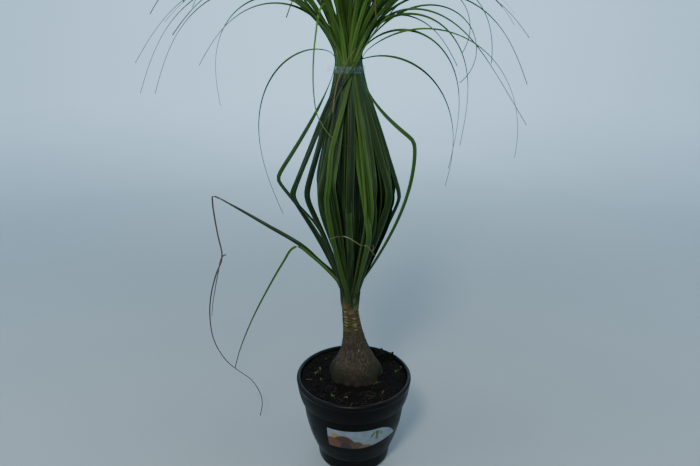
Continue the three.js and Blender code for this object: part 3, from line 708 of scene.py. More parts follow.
def trunk_relief(z, turn, radius):
    """How far the bark stands out from the plain turned shape, in millimetres."""
    x, y = Vector((radius * math.cos(turn), radius * math.sin(turn)))

    def uneven(wide, tall, shift=0):
        return noise.noise(Vector((x / wide, y / wide, z / tall + shift)))

    def faded(start, over):
        return smooth((z - start) / over)

    swelling = radius * (1 - faded(*SWELLING_FADE))
    swelling *= sum(share * math.sin(count * turn + start) for share, count, start in SWELLINGS)
    furrow = (uneven(3.4, 17) + 0.6 * uneven(1.9, 8, 40)) * (1 - faded(*FURROW_FADE))
    wrinkle = uneven(9, 1.8) * faded(*WRINKLE_FADE)
    return swelling + FURROW_DEPTH * furrow + KNOB_DEPTH * uneven(9, 12, 9) + WRINKLE_DEPTH * wrinkle


# %% Trunk
TRUNK_OUTLINE = [
    (0, 138), (28, 146), (46, 163), (54.5, 180), (56, 192), (52.8, 204), (45.5, 217), (38, 231), (31.8, 244),
    (27, 259), (22.8, 276), (19.8, 297), (17.4, 322), (16.4, TRUNK_TOP_Z),
]
CLOSE_ROWS_Z, SMOOTH_END_R = 285, 9
trunk_path = through([(r, 0, z) for r, z in TRUNK_OUTLINE], 14)
trunk_rows = []
for here, there in zip(trunk_path, trunk_path[1:]):
    trunk_rows.append((max(here.x, 0), here.z))
    if here.z > CLOSE_ROWS_Z:
        trunk_rows.append(tuple(here.lerp(there, 0.5).xz))
trunk_rows += [(trunk_path[-1].x, TRUNK_TOP_Z), (8, TRUNK_TOP_Z), (0, TRUNK_TOP_Z)]
trunk = spun("trunk_body", trunk_rows, 160)
scars, lumps = [], []
for vertex in trunk.data.vertices:
    x, y, z = vertex.co / MM
    radius, turn = math.hypot(x, y), math.atan2(y, x)
    scar = lump_out = 0
    if radius > SMOOTH_END_R:
        scar, lump_out = leaf_scar(z, turn, radius), root_lump(z, turn, radius)
        radius += trunk_relief(z, turn, radius) + SCAR_DEPTH * scar + lump_out
    scars.append(scar)
    lumps.append(min(1, lump_out / FULL_LUMP))
    vertex.co = Vector((axis_x(z) + radius * math.cos(turn), TRUNK_Y + radius * math.sin(turn), z)) * MM
write_values(trunk, "scar", scars)
write_values(trunk, "lump", lumps)
settle(trunk, smooth_angle=60)
print("trunk:", len(trunk_rows), "rows, strongest scar", round(max(scars), 2))

# %% [markdown]
# ## Anything long and thin
# Leaves, roots, dry ends and threads are all long thin shapes. Each kind is modelled once, straight and
# at a plain size, with modelling tools. A copy is then bent: each vertex keeps its place across the
# shape, and its place along the shape is moved onto a line of stations. A Curve modifier would do nearly
# the same, but a blade's twist and its changing width are easier to hold this way.

# %% Straight shapes to bend
BLADE_W, BLADE_L, BLADE_T, CHANNEL = 12, 900, 0.6, 2.0
BLADE_ROWS, SHORT_ROWS, ROD_ROWS, SHORT_ROD_ROWS = 112, 12, 60, 7


def straight_blade(rows, columns=4):
    """A channelled strip along +Y. Its middle stands out to +Z, and its edges lie at zero."""
    select_only()
    bpy.ops.mesh.primitive_grid_add(x_subdivisions=columns, y_subdivisions=rows, size=1)
    blade = bpy.context.object
    bpy.ops.object.mode_set(mode="EDIT")
    bpy.ops.mesh.select_all(action="SELECT")
    bpy.ops.transform.translate(value=(0, 0.5, 0))
    bpy.ops.transform.resize(value=(BLADE_W * MM, BLADE_L * MM, 1), center_override=(0, 0, 0))
    for half_width, rise in ((0.4, 0.68), (0.1, 0.32)):
        select_vertices(lambda co: abs(co.x) < half_width * BLADE_W * MM)
        bpy.ops.transform.translate(value=(0, 0, rise * CHANNEL * MM))
    bpy.ops.object.mode_set(mode="OBJECT")
    thicken(blade, BLADE_T * MM, 0)
    return settle(blade)


def straight_rod(rows):
    """A rod of 6 sides along +Y, as wide as a blade, to be bent into a root or a thread."""
    select_only()
    bpy.ops.mesh.primitive_cylinder_add(vertices=6, radius=BLADE_W / 2 * MM, depth=BLADE_L * MM,
                                        location=(0, BLADE_L / 2 * MM, 0), rotation=(math.pi / 2, 0, 0))
    rod = settle(bpy.context.object)
    bpy.ops.object.mode_set(mode="EDIT")
    for k in range(1, rows):
        bpy.ops.mesh.select_all(action="SELECT")
        bpy.ops.mesh.bisect(plane_co=(0, k / rows * BLADE_L * MM, 0), plane_no=(0, 1, 0))
    bpy.ops.object.mode_set(mode="OBJECT")
    return rod


leaf_blade, short_blade = straight_blade(BLADE_ROWS), straight_blade(SHORT_ROWS)
rod, short_rod = straight_rod(ROD_ROWS), straight_rod(SHORT_ROD_ROWS)
print("leaf blade:", len(leaf_blade.data.polygons), "faces; rod:", len(rod.data.polygons))


# %% Bending a copy along its stations
class Station(NamedTuple):
    """A place on a long shape's way, in millimetres and radians."""

    point: tuple
    across: float  # the heading that the shape's back faces
    width: float
    roll: float = 0  # about the shape's length


def bent(base, stations, tone=0.5):
    """A copy of a straight shape laid along stations."""
    points, across, widths, rolls = (np.array(column, dtype=float) for column in zip(*stations))
    gaps = np.linalg.norm(np.diff(points, axis=0), axis=1)
    along = np.concatenate([[0], np.cumsum(gaps)])
    tangent = np.gradient(points, along, axis=0)
    tangent /= np.linalg.norm(tangent, axis=1)[:, None]

    twin = copy_of(base)
    count = len(twin.data.vertices)
    flat = np.empty(count * 3)
    twin.data.vertices.foreach_get("co", flat)
    flat = flat.reshape(-1, 3) / MM
    at = np.clip(flat[:, 1] / BLADE_L, 0, 1) * along[-1]

    def sample(values):
        return np.stack([np.interp(at, along, values[:, k]) for k in range(values.shape[1])], axis=1)

    centre, forward = sample(points), sample(tangent)
    forward /= np.linalg.norm(forward, axis=1)[:, None]
    turn = np.interp(at, along, across)
    side = np.stack([-np.sin(turn), np.cos(turn), np.zeros(count)], axis=1)
    side -= forward * np.sum(side * forward, axis=1)[:, None]
    side /= np.linalg.norm(side, axis=1)[:, None]
    keel = np.cross(side, forward)
    roll = np.interp(at, along, rolls)[:, None]
    side, keel = side * np.cos(roll) + keel * np.sin(roll), keel * np.cos(roll) - side * np.sin(roll)
    size = np.interp(at, along, widths)[:, None] / BLADE_W
    place = centre + side * flat[:, 0:1] * size + keel * flat[:, 2:3] * size
    twin.data.vertices.foreach_set("co", (place * MM).ravel())
    twin.data.update()
    write_values(twin, "tone", tone)
    return twin


FRONT = -math.pi / 2


def hand_laid(points, width_at, tone, across=FRONT):
    """A blade on the smooth line through given points. The width goes by the share of the way."""
    path = through(points, 8)
    lengths = np.concatenate([[0], np.cumsum([(b - a).length for a, b in zip(path, path[1:])])])
    stations = [Station(tuple(p), across, width_at(d / lengths[-1])) for p, d in zip(path, lengths)]
    return bent(leaf_blade, stations, tone)


def tapering(wide, thin, power=1):
    """A rule for the width: evenly from wide to thin, or later on the way with a higher power."""
    return lambda u: mix(wide, thin, u**power)


def narrowing(wide, thin, start):
    """A rule for the width: wide up to a share of the way, and smoothly thinner from there."""
    return lambda u: mix(wide, thin, smooth((u - start) / (1 - start)))


# %% [markdown]
# Five thick roots leave the underside of the base and go down through the soil. They are hidden, but the
# plant has them, so the model has them too.

# %% Roots
ROOT_COUNT, ROOT_START, ROOT_TURN, ROOT_THICK, ROOT_THIN, ROOT_STEPS = 5, 25, 12, 13, 3, 12
ROOT_FROM_R, ROOT_FROM_Z, ROOT_KNEE_R, ROOT_KNEE_Z = 26, 165, 58, 140
ROOT_REACH, ROOT_REACH_VARIES, ROOT_END_Z, ROOT_END_VARIES = 74, 6, 55, 25
roots = []
for i in range(ROOT_COUNT):
    turn = math.radians(ROOT_START + i * 360 / ROOT_COUNT + ROOT_TURN * spread(i, 40))
    reach = ROOT_REACH + ROOT_REACH_VARIES * spread(i, 41)
    out = Vector((math.cos(turn), math.sin(turn), 0))
    start = Vector((TRUNK_X, TRUNK_Y, ROOT_FROM_Z)) + ROOT_FROM_R * out
    knee = Vector((TRUNK_X, TRUNK_Y, ROOT_KNEE_Z)) + ROOT_KNEE_R * out
    end = Vector((reach * out.x, reach * out.y, ROOT_END_Z + ROOT_END_VARIES * draw(i, 42)))
    line = [(start.lerp(knee, t).lerp(knee.lerp(end, t), t), t) for t in np.linspace(0, 1, ROOT_STEPS)]
    roots.append(bent(rod, [Station(tuple(p), turn, mix(ROOT_THICK, ROOT_THIN, t)) for p, t in line]))
roots = joined("buried_roots", roots)

# %% [markdown]
# Bark here is thin grey-brown cork. Short darker furrows run up it, so the noise is squeezed sideways
# and stretched upwards, and yellowish dashes show where the swelling base has split it. The scars of the
# neck are cream on olive brown, the old roots at the foot are warm brown, and algae grow low at the sides.

# %% Corky bark
bark = Finish("corky_bark")
sideways, _, height = bark.parts(bark.place)


def band(low_mm, high_mm, way=height):
    """0 before the first place and 1 past the second, along the height unless it says otherwise."""
    return bark.between(way, low_mm * MM, high_mm * MM)


# Furrows 3 mm apart and about 14 mm long, and dashes in them
furrow_place = bark.scaled(bark.place, (330, 330, 70))
furrows = bark.noise(furrow_place, 1, 3)
cork = bark.ramp(furrows, [(0.3, "#14120f"), (0.45, "#282420"), (0.55, "#393329"), (0.72, "#544b3d")])
dashes = bark.ranged(bark.spots(furrow_place, 0.8), 0.32, 0.12, 0, 0.9)
split_zone = bark.times(band(192, 202), band(240, 222))
# Fine pink and olive flecks, 1.6 mm, and grey patches
flecks = bark.noise(bark.place, 620)
patches = bark.noise(bark.place, 45, 3)
cork = bark.over(cork, [
    (bark.times(dashes, 0.3), "#4a3d2b"),
    (bark.times(dashes, split_zone), "#75602f"),
    (0.3, bark.ramp(flecks, [(0.36, "#2b2a18"), (0.5, "#3a3228"), (0.64, "#5a4238")])),
    (bark.ranged(patches, 0.45, 0.7, 0, 0.45), "#24241c"),
])
# Algae low at both sides, more of them at the right
algae = bark.times(bark.ranged(patches, 0.38, 0.58, 0, 0.8), band(262, 222))
cork = bark.over(cork, [
    (bark.times(band(18, 48, sideways), algae), "#2c3414"),
    (bark.times(bark.times(band(-8, -40, sideways), algae), 0.7), "#2a2f1a"),
])
# The neck: olive brown with wrinkles across it, and cream scars
wrinkles = bark.noise(bark.scaled(bark.place, (120, 120, 560)), 1, 3)
neck = bark.ramp(wrinkles, [(0.36, "#1c180e"), (0.48, "#362f1c"), (0.6, "#4d4629"), (0.72, "#665e38")])
cream = bark.ramp(flecks, [(0.35, "#554f30"), (0.65, "#7d764b")])
cork = bark.over(cork, [
    (bark.times(band(268, 305), 0.75), neck),
    (bark.ranged(bark.attribute("scar"), 0.1, 0.6, 0, 0.9), cream),
])
# Darker towards the foot, and the brown old roots in it
root_brown = bark.ramp(flecks, [(0.35, "#1c150f"), (0.65, "#3f3022")])
cork = bark.over(cork, [
    (bark.times(band(236, 192), 0.88), "#11110c"),
    (bark.times(bark.attribute("lump"), 0.6), root_brown),
])
furrow_relief = bark.bump(furrows, 0.7, 1.2)
relief = bark.bump(bark.noise(bark.place, 900, 3), 0.5, 0.4, Normal=furrow_relief)
bark.shade(Base_Color=cork, Normal=relief, Roughness=0.82, Specular_IOR_Level=0.12)
paint(trunk, bark)
paint(roots, bark)
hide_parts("trunk")

# %% [markdown]
# ## The leaves
# A leaf starts at the neck, runs out to its bulge, comes back in to the tie and goes on in an arch. Its
# distance from the bunch's middle line is the lower of a line going out and a line coming in, rounded
# where they meet. Above the tie its heading turns from nearly upright to downwards. A few numbers thus
# place a whole leaf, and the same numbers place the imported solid's leaves, so the form is kept.

# %% Where a leaf runs
NECK_Z, TIE_Z, NECK_AT, TIE_AT, BUNCH_SWAY, PATH_STEP = 352, 820, (-8, 14), (-11, 10), 10, 6
FOOT_WIDTH_SHARE, TIE_WIDTH_SHARE, TAPER, TIP_WIDTH = 0.72, 0.72, 1.1, 1.7
# A leaf is held flat at the neck and the tie, and can roll freely this far from them
FREE_FROM_TIES, ARCH_ROLL_OVER = 110, 130


@dataclass
class Leaf:
    """What places a leaf, in millimetres and degrees. Headings of an arch are from straight up."""

    azimuth: float = 0  # where it stands round the neck
    turn: float = 0  # how far it winds round the bunch up to the tie
    turn_curve: float = 1.5
    root_r: float = 15
    root_z: float = 348
    sheath_z: float = 365  # up to here it stands against its neighbours
    bulge: float = 70
    bulge_z: float = 585
    crease: float = 50  # how far the bulge is rounded off
    bow: float = 0
    low_curve: float = 1.3
    high_curve: float = 1.15
    tie_r: float = 24.5
    arch: float = 0  # the way that it arches above the tie
    rise: float = 35
    fall: float = 180
    free: float = 420  # length above the tie
    haste: float = 1.6
    lag: float = 1
    join: float = 40
    sway: float = 0
    width: float = 12
    tone: float = 0.4
    roll: float = 0
    twist: float = 0
    arch_roll: float = 50


def bunch_axis(z):
    t = min(1, max(0, (z - NECK_Z) / (TIE_Z - NECK_Z)))
    return mix(NECK_AT[0], TIE_AT[0], t) + BUNCH_SWAY * math.sin(math.pi * t), mix(NECK_AT[1], TIE_AT[1], t)


def leaf_radius(leaf, z):
    peak = leaf.bulge + leaf.crease / 2
    t = max(0, (z - leaf.sheath_z) / (leaf.bulge_z - leaf.sheath_z))
    u = max(0, (TIE_Z - z) / (TIE_Z - leaf.bulge_z))
    bowed = math.sin(min(1, t) * math.pi / 2)
    outward = leaf.root_r + (peak - leaf.root_r) * mix(t**leaf.low_curve, bowed, leaf.bow)
    inward = leaf.tie_r + (peak - leaf.tie_r) * u**leaf.high_curve
    return 0.5 * (outward + inward - math.hypot(outward - inward, leaf.crease))


def gathered_station(leaf, share):
    """A station at a share of the height between the leaf's foot and the tie."""
    z = mix(leaf.root_z, TIE_Z, share)
    wound = max(0, (z - NECK_Z) / (TIE_Z - NECK_Z)) ** leaf.turn_curve
    a = math.radians(leaf.azimuth + leaf.turn * wound)
    x, y = bunch_axis(z)
    r = leaf_radius(leaf, z)
    if z < leaf.bulge_z:
        broad = mix(FOOT_WIDTH_SHARE, 1, smooth((z - leaf.root_z) / (leaf.bulge_z - leaf.root_z)))
    else:
        broad = mix(1, TIE_WIDTH_SHARE, smooth((z - leaf.bulge_z) / (TIE_Z - leaf.bulge_z)))
    free_of_ties = smooth((z - NECK_Z) / FREE_FROM_TIES) * smooth((TIE_Z - z) / FREE_FROM_TIES)
    roll = math.radians(leaf.roll + leaf.twist * mix(-1, 1, share)) * free_of_ties
    return Station((x + r * math.cos(a), y + r * math.sin(a), z), a, leaf.width * broad, roll)


def leaf_stations(leaf):
    below = math.floor((TIE_Z - leaf.root_z) / PATH_STEP)
    stations = [gathered_station(leaf, k / below) for k in range(below + 1)]
    point, tied = Vector(stations[-1].point), stations[-1].across
    incoming = (point - Vector(stations[-2].point)).normalized()
    swing = angle_between(math.radians(leaf.arch), tied)
    above = math.floor(leaf.free / PATH_STEP)
    for k in range(1, above + 1):
        length = (k - 0.5) * leaf.free / above
        u = length / leaf.free
        bend = 1 - (1 - u**leaf.lag) ** leaf.haste
        heading = math.radians(mix(leaf.rise, leaf.fall, bend))
        a = math.radians(leaf.arch + leaf.sway * u)
        free = Vector((math.sin(heading) * math.cos(a), math.sin(heading) * math.sin(a), math.cos(heading)))
        eased = smooth(length / leaf.join)
        point = point + incoming.lerp(free, eased).normalized() * (leaf.free / above)
        across = tied + swing * eased + math.radians(leaf.sway * u)
        width = max(TIP_WIDTH, leaf.width * TIE_WIDTH_SHARE * (1 - k / above) ** TAPER)
        roll = math.radians(leaf.arch_roll) * smooth(length / ARCH_ROLL_OVER)
        stations.append(Station(tuple(point), across, width, roll))
    return stations


def leaf_blades(leaves):
    return [bent(leaf_blade, leaf_stations(leaf), leaf.tone) for leaf in leaves]


# %% [markdown]
# Sixteen leaves show singly: the folded ones at the sides and the long arches. Others follow listed points:
# a narrow one that folds over above the tie and hangs in front of the bunch, one that
# crosses the front outside the tape, a bright one that runs up the front, and two that have sprung out
# of the tie at the left.

# %% Leaves that show singly
SHOWN_LEAVES = [
    Leaf(azimuth=182, bulge=143, bulge_z=618, crease=14, low_curve=1.5, high_curve=1.2, arch=184.6, rise=20,
         fall=201, haste=1.76, lag=0.71, width=9, tone=0.5, roll=-60),
    Leaf(azimuth=188, turn=78, turn_curve=10, bulge=116, bulge_z=588, crease=12, tie_r=26, arch=2, rise=55,
         fall=193, free=375, haste=1.5, join=25, width=11, tone=0.3, roll=-55, arch_roll=-50),
    Leaf(azimuth=196, bulge=92, bulge_z=590, crease=14, arch=184, rise=18, fall=160, free=480, haste=2,
         lag=1.5, tone=0.25, roll=-55),
    Leaf(azimuth=-6, sheath_z=392, bulge=110, bulge_z=692, crease=10, bow=1, high_curve=2, arch=2, rise=38,
         fall=186, free=475, haste=1.2, width=8.5, tone=0.65, roll=60, arch_roll=-50),
    Leaf(azimuth=4, bulge=86, bulge_z=577, crease=8, arch=-5, rise=10, fall=146, free=450, haste=4.5, lag=1.6,
         width=11, tone=0.3, roll=50, arch_roll=-50),
    Leaf(azimuth=170, arch=176, rise=14, fall=187, free=430, haste=2, lag=1.6, roll=-35),
    Leaf(azimuth=12, rise=25, fall=190, haste=2.5, lag=1.3, roll=40, arch_roll=-45),
    Leaf(azimuth=-30, arch=-2, rise=12, fall=188, free=430, haste=2.4, lag=1.4, arch_roll=-50),
    Leaf(azimuth=-14, arch=6, rise=32, fall=235, free=373, haste=1, lag=1.7, tone=0.6),
    Leaf(azimuth=20, arch=2, rise=20, fall=156, free=450, haste=2, lag=1.5),
    Leaf(azimuth=35, arch=8, rise=18, fall=212, free=372, haste=1.1, lag=1.8),
    Leaf(azimuth=48, arch=4, rise=18, free=425, lag=1.8),
    Leaf(azimuth=205, arch=180, rise=18, fall=145, free=490, haste=2, lag=1.5),
    Leaf(azimuth=160, arch=182, rise=20, fall=158, free=520, haste=2, lag=1.5),
    Leaf(azimuth=60, arch=10, rise=8, fall=150, free=290, haste=2, lag=1.4, roll=30),
    Leaf(azimuth=150, arch=186, rise=14, fall=148, free=350, haste=2, lag=1.5),
]
FOLDED_OVER = [
    (-24, 4, 815), (-30, -6, 852), (-37, -12, 894), (-38, -16, 915), (-43, -20, 926), (-50, -24, 929),
    (-56, -27, 923), (-61, -30, 909), (-65, -34, 884), (-69, -38, 852), (-71, -42, 814), (-70, -46, 781),
    (-65, -50, 749), (-53, -53, 726), (-39, -56, 709), (-25, -58, 698), (-3, -58, 693),
]
CROSSING = [
    (-24, 4, 358), (-26, -4, 400), (-38, -24, 463), (-49, -36, 500), (-73, -45, 548), (-104, -50, 588),
    (-113, -51, 602), (-111, -52, 614), (-88, -55, 660), (-69, -51, 704), (-57, -46, 729), (-39, -38, 763),
    (-25, -31, 791), (-3, -26, 824), (29, -25, 878), (60, -22, 914), (90, -8, 940), (118, 20, 968),
    (142, 60, 990),
]
BRIGHT_FRONT = [
    (-10, -3, 354), (-13, -11, 385), (-29, -36, 460), (-43, -58, 539), (-50, -68, 599), (-47, -70, 621),
    (-43, -65, 663), (-40, -61, 689), (-31, -53, 722), (-21, -42, 755), (-10, -25, 797), (-4, -16, 822),
    (6, -18, 850), (26, -18, 905), (34, -14, 960),
]
SPRUNG_HIGH = [
    (-12, 12, 360), (-22, 8, 384), (-29, 6, 402), (-38, 5, 420), (-70, 8, 450), (-102, 14, 479),
    (-172, 28, 518), (-223, 37, 546), (-262, 43, 567),
]
SPRUNG_LOW = [
    (-12, 8, 358), (-21, 2, 384), (-30, -1, 406), (-52, -3, 434), (-84, -4, 466), (-109, -4, 485),
    (-122, -5, 479), (-136, -6, 457), (-166, -7, 405), (-206, -7, 327), (-235, -6, 256), (-248, -5, 212),
]
HALF_LEFT, NEARLY_FRONT = -2.2, -1.7
shown = leaf_blades(SHOWN_LEAVES) + [
    hand_laid(FOLDED_OVER, tapering(7, 1.5), 0.85, HALF_LEFT),
    hand_laid(CROSSING, narrowing(7.5, 1.5, 0.35), 0.15, HALF_LEFT),
    hand_laid(BRIGHT_FRONT, narrowing(9, 3, 0.45), 0.62, NEARLY_FRONT),
    hand_laid(SPRUNG_HIGH, tapering(9, 3, 3), 0.2),
    hand_laid(SPRUNG_LOW, tapering(7, 1.6), 0.75),
]
shown_leaves = joined("leaves_shown_singly", shown)

# %% [markdown]
# A rule fills in the rest: leaf after leaf stands a golden angle further round, and each sits deeper in
# the bunch than the one before. A few more stand at the front by their own numbers, and a second run of
# the rule with other draws makes the bunch as dense as a real one. Its leaves have a sharper fold, as
# leaves have where the tie pulls them in.

# %% Leaves by a rule
GOLDEN_ANGLE, RULE_LEAVES, MORE_LEAVES = 137.508, 36, 70
FRONT_LEAVES = [
    Leaf(azimuth=238, turn=16, turn_curve=2.5, bulge=82, bulge_z=626, crease=7, arch=262, rise=16, fall=120,
         free=400, lag=1.6, tie_r=26, width=13, tone=0.45, roll=12),
    Leaf(azimuth=262, turn=18, turn_curve=4, bulge=76, bulge_z=604, crease=30, arch=285, rise=14, fall=115,
         free=390, lag=1.6, tie_r=26, width=14, tone=0.2),
    Leaf(azimuth=302, turn=-40, turn_curve=1.3, bulge=76, bulge_z=530, crease=8, arch=255, rise=18, fall=130,
         free=380, lag=1.6, tie_r=26, tone=0.68, roll=-14),
    Leaf(azimuth=292, turn=14, bulge=73, bulge_z=612, crease=14, arch=312, rise=18, fall=128, free=400,
         lag=1.6, width=13, roll=20),
    Leaf(azimuth=222, turn=12, bulge=88, bulge_z=606, crease=9, arch=214, rise=20, fall=140, free=400,
         lag=1.6, tone=0.3, roll=-35),
    Leaf(azimuth=322, turn=-8, bulge=84, bulge_z=598, crease=9, arch=330, rise=22, fall=140, free=400,
         lag=1.6, tone=0.35, roll=35),
]


def rule_leaf(i, count, first, seed=0):
    """Leaf i of a bunch, from the outermost to the innermost."""
    t = i / (count - 1)
    azimuth = (first + i * GOLDEN_ANGLE) % 360
    front = max(0, math.cos(math.radians(azimuth + 90)))
    s = i + seed
    return Leaf(
        azimuth=azimuth, turn=8 * spread(s, 1), root_r=14 - 10 * t, root_z=NECK_Z - 6 + 20 * t,
        bulge=(80 - 62 * t**0.9) * (1 + 0.08 * spread(s, 2)), bulge_z=580 + 30 * spread(s, 3),
        crease=14 + 40 * draw(s, 4) + 40 * t, low_curve=1.4 + 0.15 * spread(s, 5),
        high_curve=1.15 + 0.15 * spread(s, 6), tie_r=26.3 - 21 * t, arch=azimuth + 20 * spread(s, 7),
        rise=29 - 27 * t + 5 * spread(s, 8), fall=135 + 20 * spread(s, 9) - 15 * front - 20 * t,
        free=(430 + 50 * spread(s, 10) - 20 * t) * (1 - 0.12 * front), haste=1.3,
        lag=1.5 + 0.5 * draw(s, 11), join=50, sway=20 * spread(s, 12),
        width=13 + 1.8 * spread(s, 13), tone=0.02 + 0.7 * draw(s, 14) ** 1.3,
        roll=60 * spread(s, 15), twist=45 * spread(s, 17), arch_roll=60 * spread(s, 16),
    )


bunch = [rule_leaf(i, RULE_LEAVES, first=20) for i in range(RULE_LEAVES)]
filling = [
    replace(rule_leaf(i, MORE_LEAVES, first=95, seed=300), crease=6 + 24 * draw(i, 70),
            bulge_z=585 + 45 * spread(i, 71))
    for i in range(MORE_LEAVES)
]
bunch_leaves = joined("leaves_of_the_bunch", leaf_blades(bunch))
filling_leaves = joined("leaves_that_fill", leaf_blades(FRONT_LEAVES + filling))

# %% [markdown]
# A living leaf has a thin waxy skin over soft green tissue, with fine veins that run its whole length.
# So it has a soft long gloss at an index of refraction of 1.45, never a mirror's. Veins are drawn 1.6 mm
# apart, twice the real distance, so that they show. The blade's own UV map runs across and along it. A
# leaf is reddish brown at its foot, dull and dark just above, the dark partly painted shade, deep green
# over most of its length, painted lighter and yellower above the tie as painted light, and brown at the
# tip. Long grey-green streaks on its skin are a painted sheen, and the middle of its channel has painted
# shade.


# %% Leaf green
class BladeFinish(Finish):
    """A finish with long fibres. Its UV map runs across the blade and along it, from 0 to 1 each way."""

    def __init__(self, name, across_mm, along_mm):
        super().__init__(name)
        self.uv = self.add("UVMap", uv_map="UVMap")
        self.across, self.along, _ = self.parts(self.uv)
        self.tone = self.attribute("tone")
        self.fibres = self.streaks((BLADE_W / across_mm, BLADE_L / along_mm, 1), 90, 3)

    def streaks(self, scale, shift, detail):
        """Noise drawn out along the blade, which the tone shifts, so that blades differ."""
        shifted = self.times(self.tone, shift)
        inputs = {"Vector": self.scaled(self.uv, scale), "W": shifted, "Scale": 1, "Detail": detail}
        return self.add("TexNoise", inputs, noise_dimensions="4D")

    def fibrous_tone(self, strength, shift):
        return self.math("ADD", self.tone, self.math("MULTIPLY_ADD", self.fibres, strength, shift))


green = BladeFinish("waxy_strap_leaf", 1.6, 160)
GREENS = [(0.02, "#091105"), (0.3, "#162509"), (0.55, "#263b10"), (0.8, "#3e581a"), (1.0, "#5a762c")]
painted_sheen_streaks = green.streaks((2.2, 14, 1), 57, 2)
leaf_height = green.parts(green.place)[2]
from_middle = green.math("ABSOLUTE", green.math("SUBTRACT", green.across, 0.5))
leaf_colour_with_painted_light = green.over(green.ramp(green.fibrous_tone(0.55, -0.27), GREENS), [
    # Painted sheen: long grey-green streaks on the skin, painted in as colour
    (green.between(painted_sheen_streaks, 0.52, 0.68, 0.28), "#41603a"),
    # Painted light: the part above the tie, painted lighter and yellower
    (green.between(leaf_height, 0.79, 0.88, 0.45), "#55762a"),
    # The edges, where the blade is thinnest, and painted shade down the middle of the channel
    (green.between(from_middle, 0.4, 0.5, 0.5), "#4d6a30"),
    (green.between(from_middle, 0.16, 0.02, 0.5), "#0c1506"),
    # The foot: dull, and dark partly as painted shade inside the bunch, and reddish brown at the very start
    (green.between(green.along, 0.14, 0.03, 0.5), "#262a18"),
    (green.between(green.along, 0.02, 0.004, 0.8), "#5a3122"),
    # The tip: straw, then brown
    (green.between(green.along, 0.86, 0.97, 0.8), "#4d4a2c"),
    (green.between(green.along, 0.94, 0.985, 0.9), "#3d2a1e"),
])
green.shade(Base_Color=leaf_colour_with_painted_light, Roughness=green.ranged(green.fibres, 0.3, 0.7, 0.36, 0.56), IOR=1.45,
            Normal=green.bump(green.fibres, 0.5, 0.4), Specular_IOR_Level=0.19)
for part in (shown_leaves, bunch_leaves, filling_leaves):
    paint(part, green)
    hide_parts("leaf_crown")

# %% [markdown]
# ## The neck
# Each of the outer leaves clasps the neck with a broad foot, which narrows upwards into the leaf. It is
# brown at its base and turns through olive to green, and the youngest are pink at the base. The feet are
# short wide blades that hug the neck and then lie on the leaves, at about the places where they show. The
# tone that each one carries says how pink it is.

# %% Leaf feet round the neck
# Heading, height of the base, and width
FEET = [(-84, 337, 13), (-121, 347, 12), (-52, 342, 11), (-150, 343, 11), (-20, 346, 11), (170, 346, 11),
        (12, 340, 11), (44, 345, 12), (78, 340, 11), (108, 346, 12), (140, 341, 11), (-100, 357, 9),
        (-66, 359, 9), (-135, 361, 9)]
FOOT_TALL, FOOT_OFF, FOOT_TOP_SHARE, PINKEST = 40, 0.8, 0.62, (0.95, 0.5, 0.3)


def foot_centre(z, lift, turn):
    """A point just off the neck, or off the narrow start of the bunch above the trunk."""
    hug = mix(17.8, 16.2, (z - 322) / 23) if z < TRUNK_TOP_Z else 16.2 + 0.055 * (z - TRUNK_TOP_Z)
    middle_x, middle_y = bunch_axis(z) if z > NECK_Z else (axis_x(z), TRUNK_Y)
    return middle_x + (hug + lift) * math.cos(turn), middle_y + (hug + lift) * math.sin(turn), z


feet = []
for k, (heading, foot_z, wide) in enumerate(FEET):
    turn = math.radians(heading)
    tall = FOOT_TALL * (1 + 0.15 * spread(k, 50))
    stations = []
    for t in np.linspace(0, 1, 9):
        lift = FOOT_OFF * smooth(4 * t) + 0.3 * (foot_z > 350)
        width = mix(0.7, 1, smooth(5 * t)) * mix(wide, FOOT_TOP_SHARE * wide, smooth(t))
        stations.append(Station(foot_centre(foot_z + tall * t, lift, turn), turn, width))
    feet.append(bent(short_blade, stations, PINKEST[k] if k < len(PINKEST) else 0.12 * draw(k, 53)))
leaf_feet = joined("leaf_feet", feet)

# %% Young leaf foot
foot_skin = BladeFinish("young_leaf_foot", 1.8, 300)
FOOT_STOPS = [(0.14, "#33271a"), (0.28, "#51462b"), (0.42, "#3d4424"), (0.6, "#222e14"), (1.0, "#14200c")]
uneven_foot = foot_skin.math("MULTIPLY_ADD", foot_skin.fibres, 0.3, foot_skin.along)
pink = foot_skin.times(foot_skin.between(uneven_foot, 0.36, 0.2), foot_skin.tone)
foot_colour = foot_skin.over(foot_skin.ramp(uneven_foot, FOOT_STOPS), [(pink, "#714338")])
foot_skin.shade(Base_Color=foot_colour, Normal=foot_skin.bump(foot_skin.fibres, 0.5, 0.4), Roughness=0.5,
                IOR=1.45, Specular_IOR_Level=0.25)
paint(leaf_feet, foot_skin)

# %% [markdown]
# Dry leaf is brown paper: matt, fibrous, paler where it has bleached. One finish serves the dry end that
# hangs at the left and the loose threads and straws. The end of the upper sprung leaf has dried to a
# brown thread. It folds over and hangs in loose curves to just above the ground, and has split once.

# %% Dry leaf
dry = BladeFinish("dry_leaf_fibre", 2.5, 60)
DRY_STOPS = [(0.05, "#1b110d"), (0.35, "#35271c"), (0.6, "#4a3a2a"), (0.85, "#655740"), (1.0, "#877853")]
dry.shade(Base_Color=dry.ramp(dry.fibrous_tone(0.9, -0.45), DRY_STOPS), Normal=dry.bump(dry.fibres, 0.6, 0.4),
          Roughness=0.78, Specular_IOR_Level=0.3)

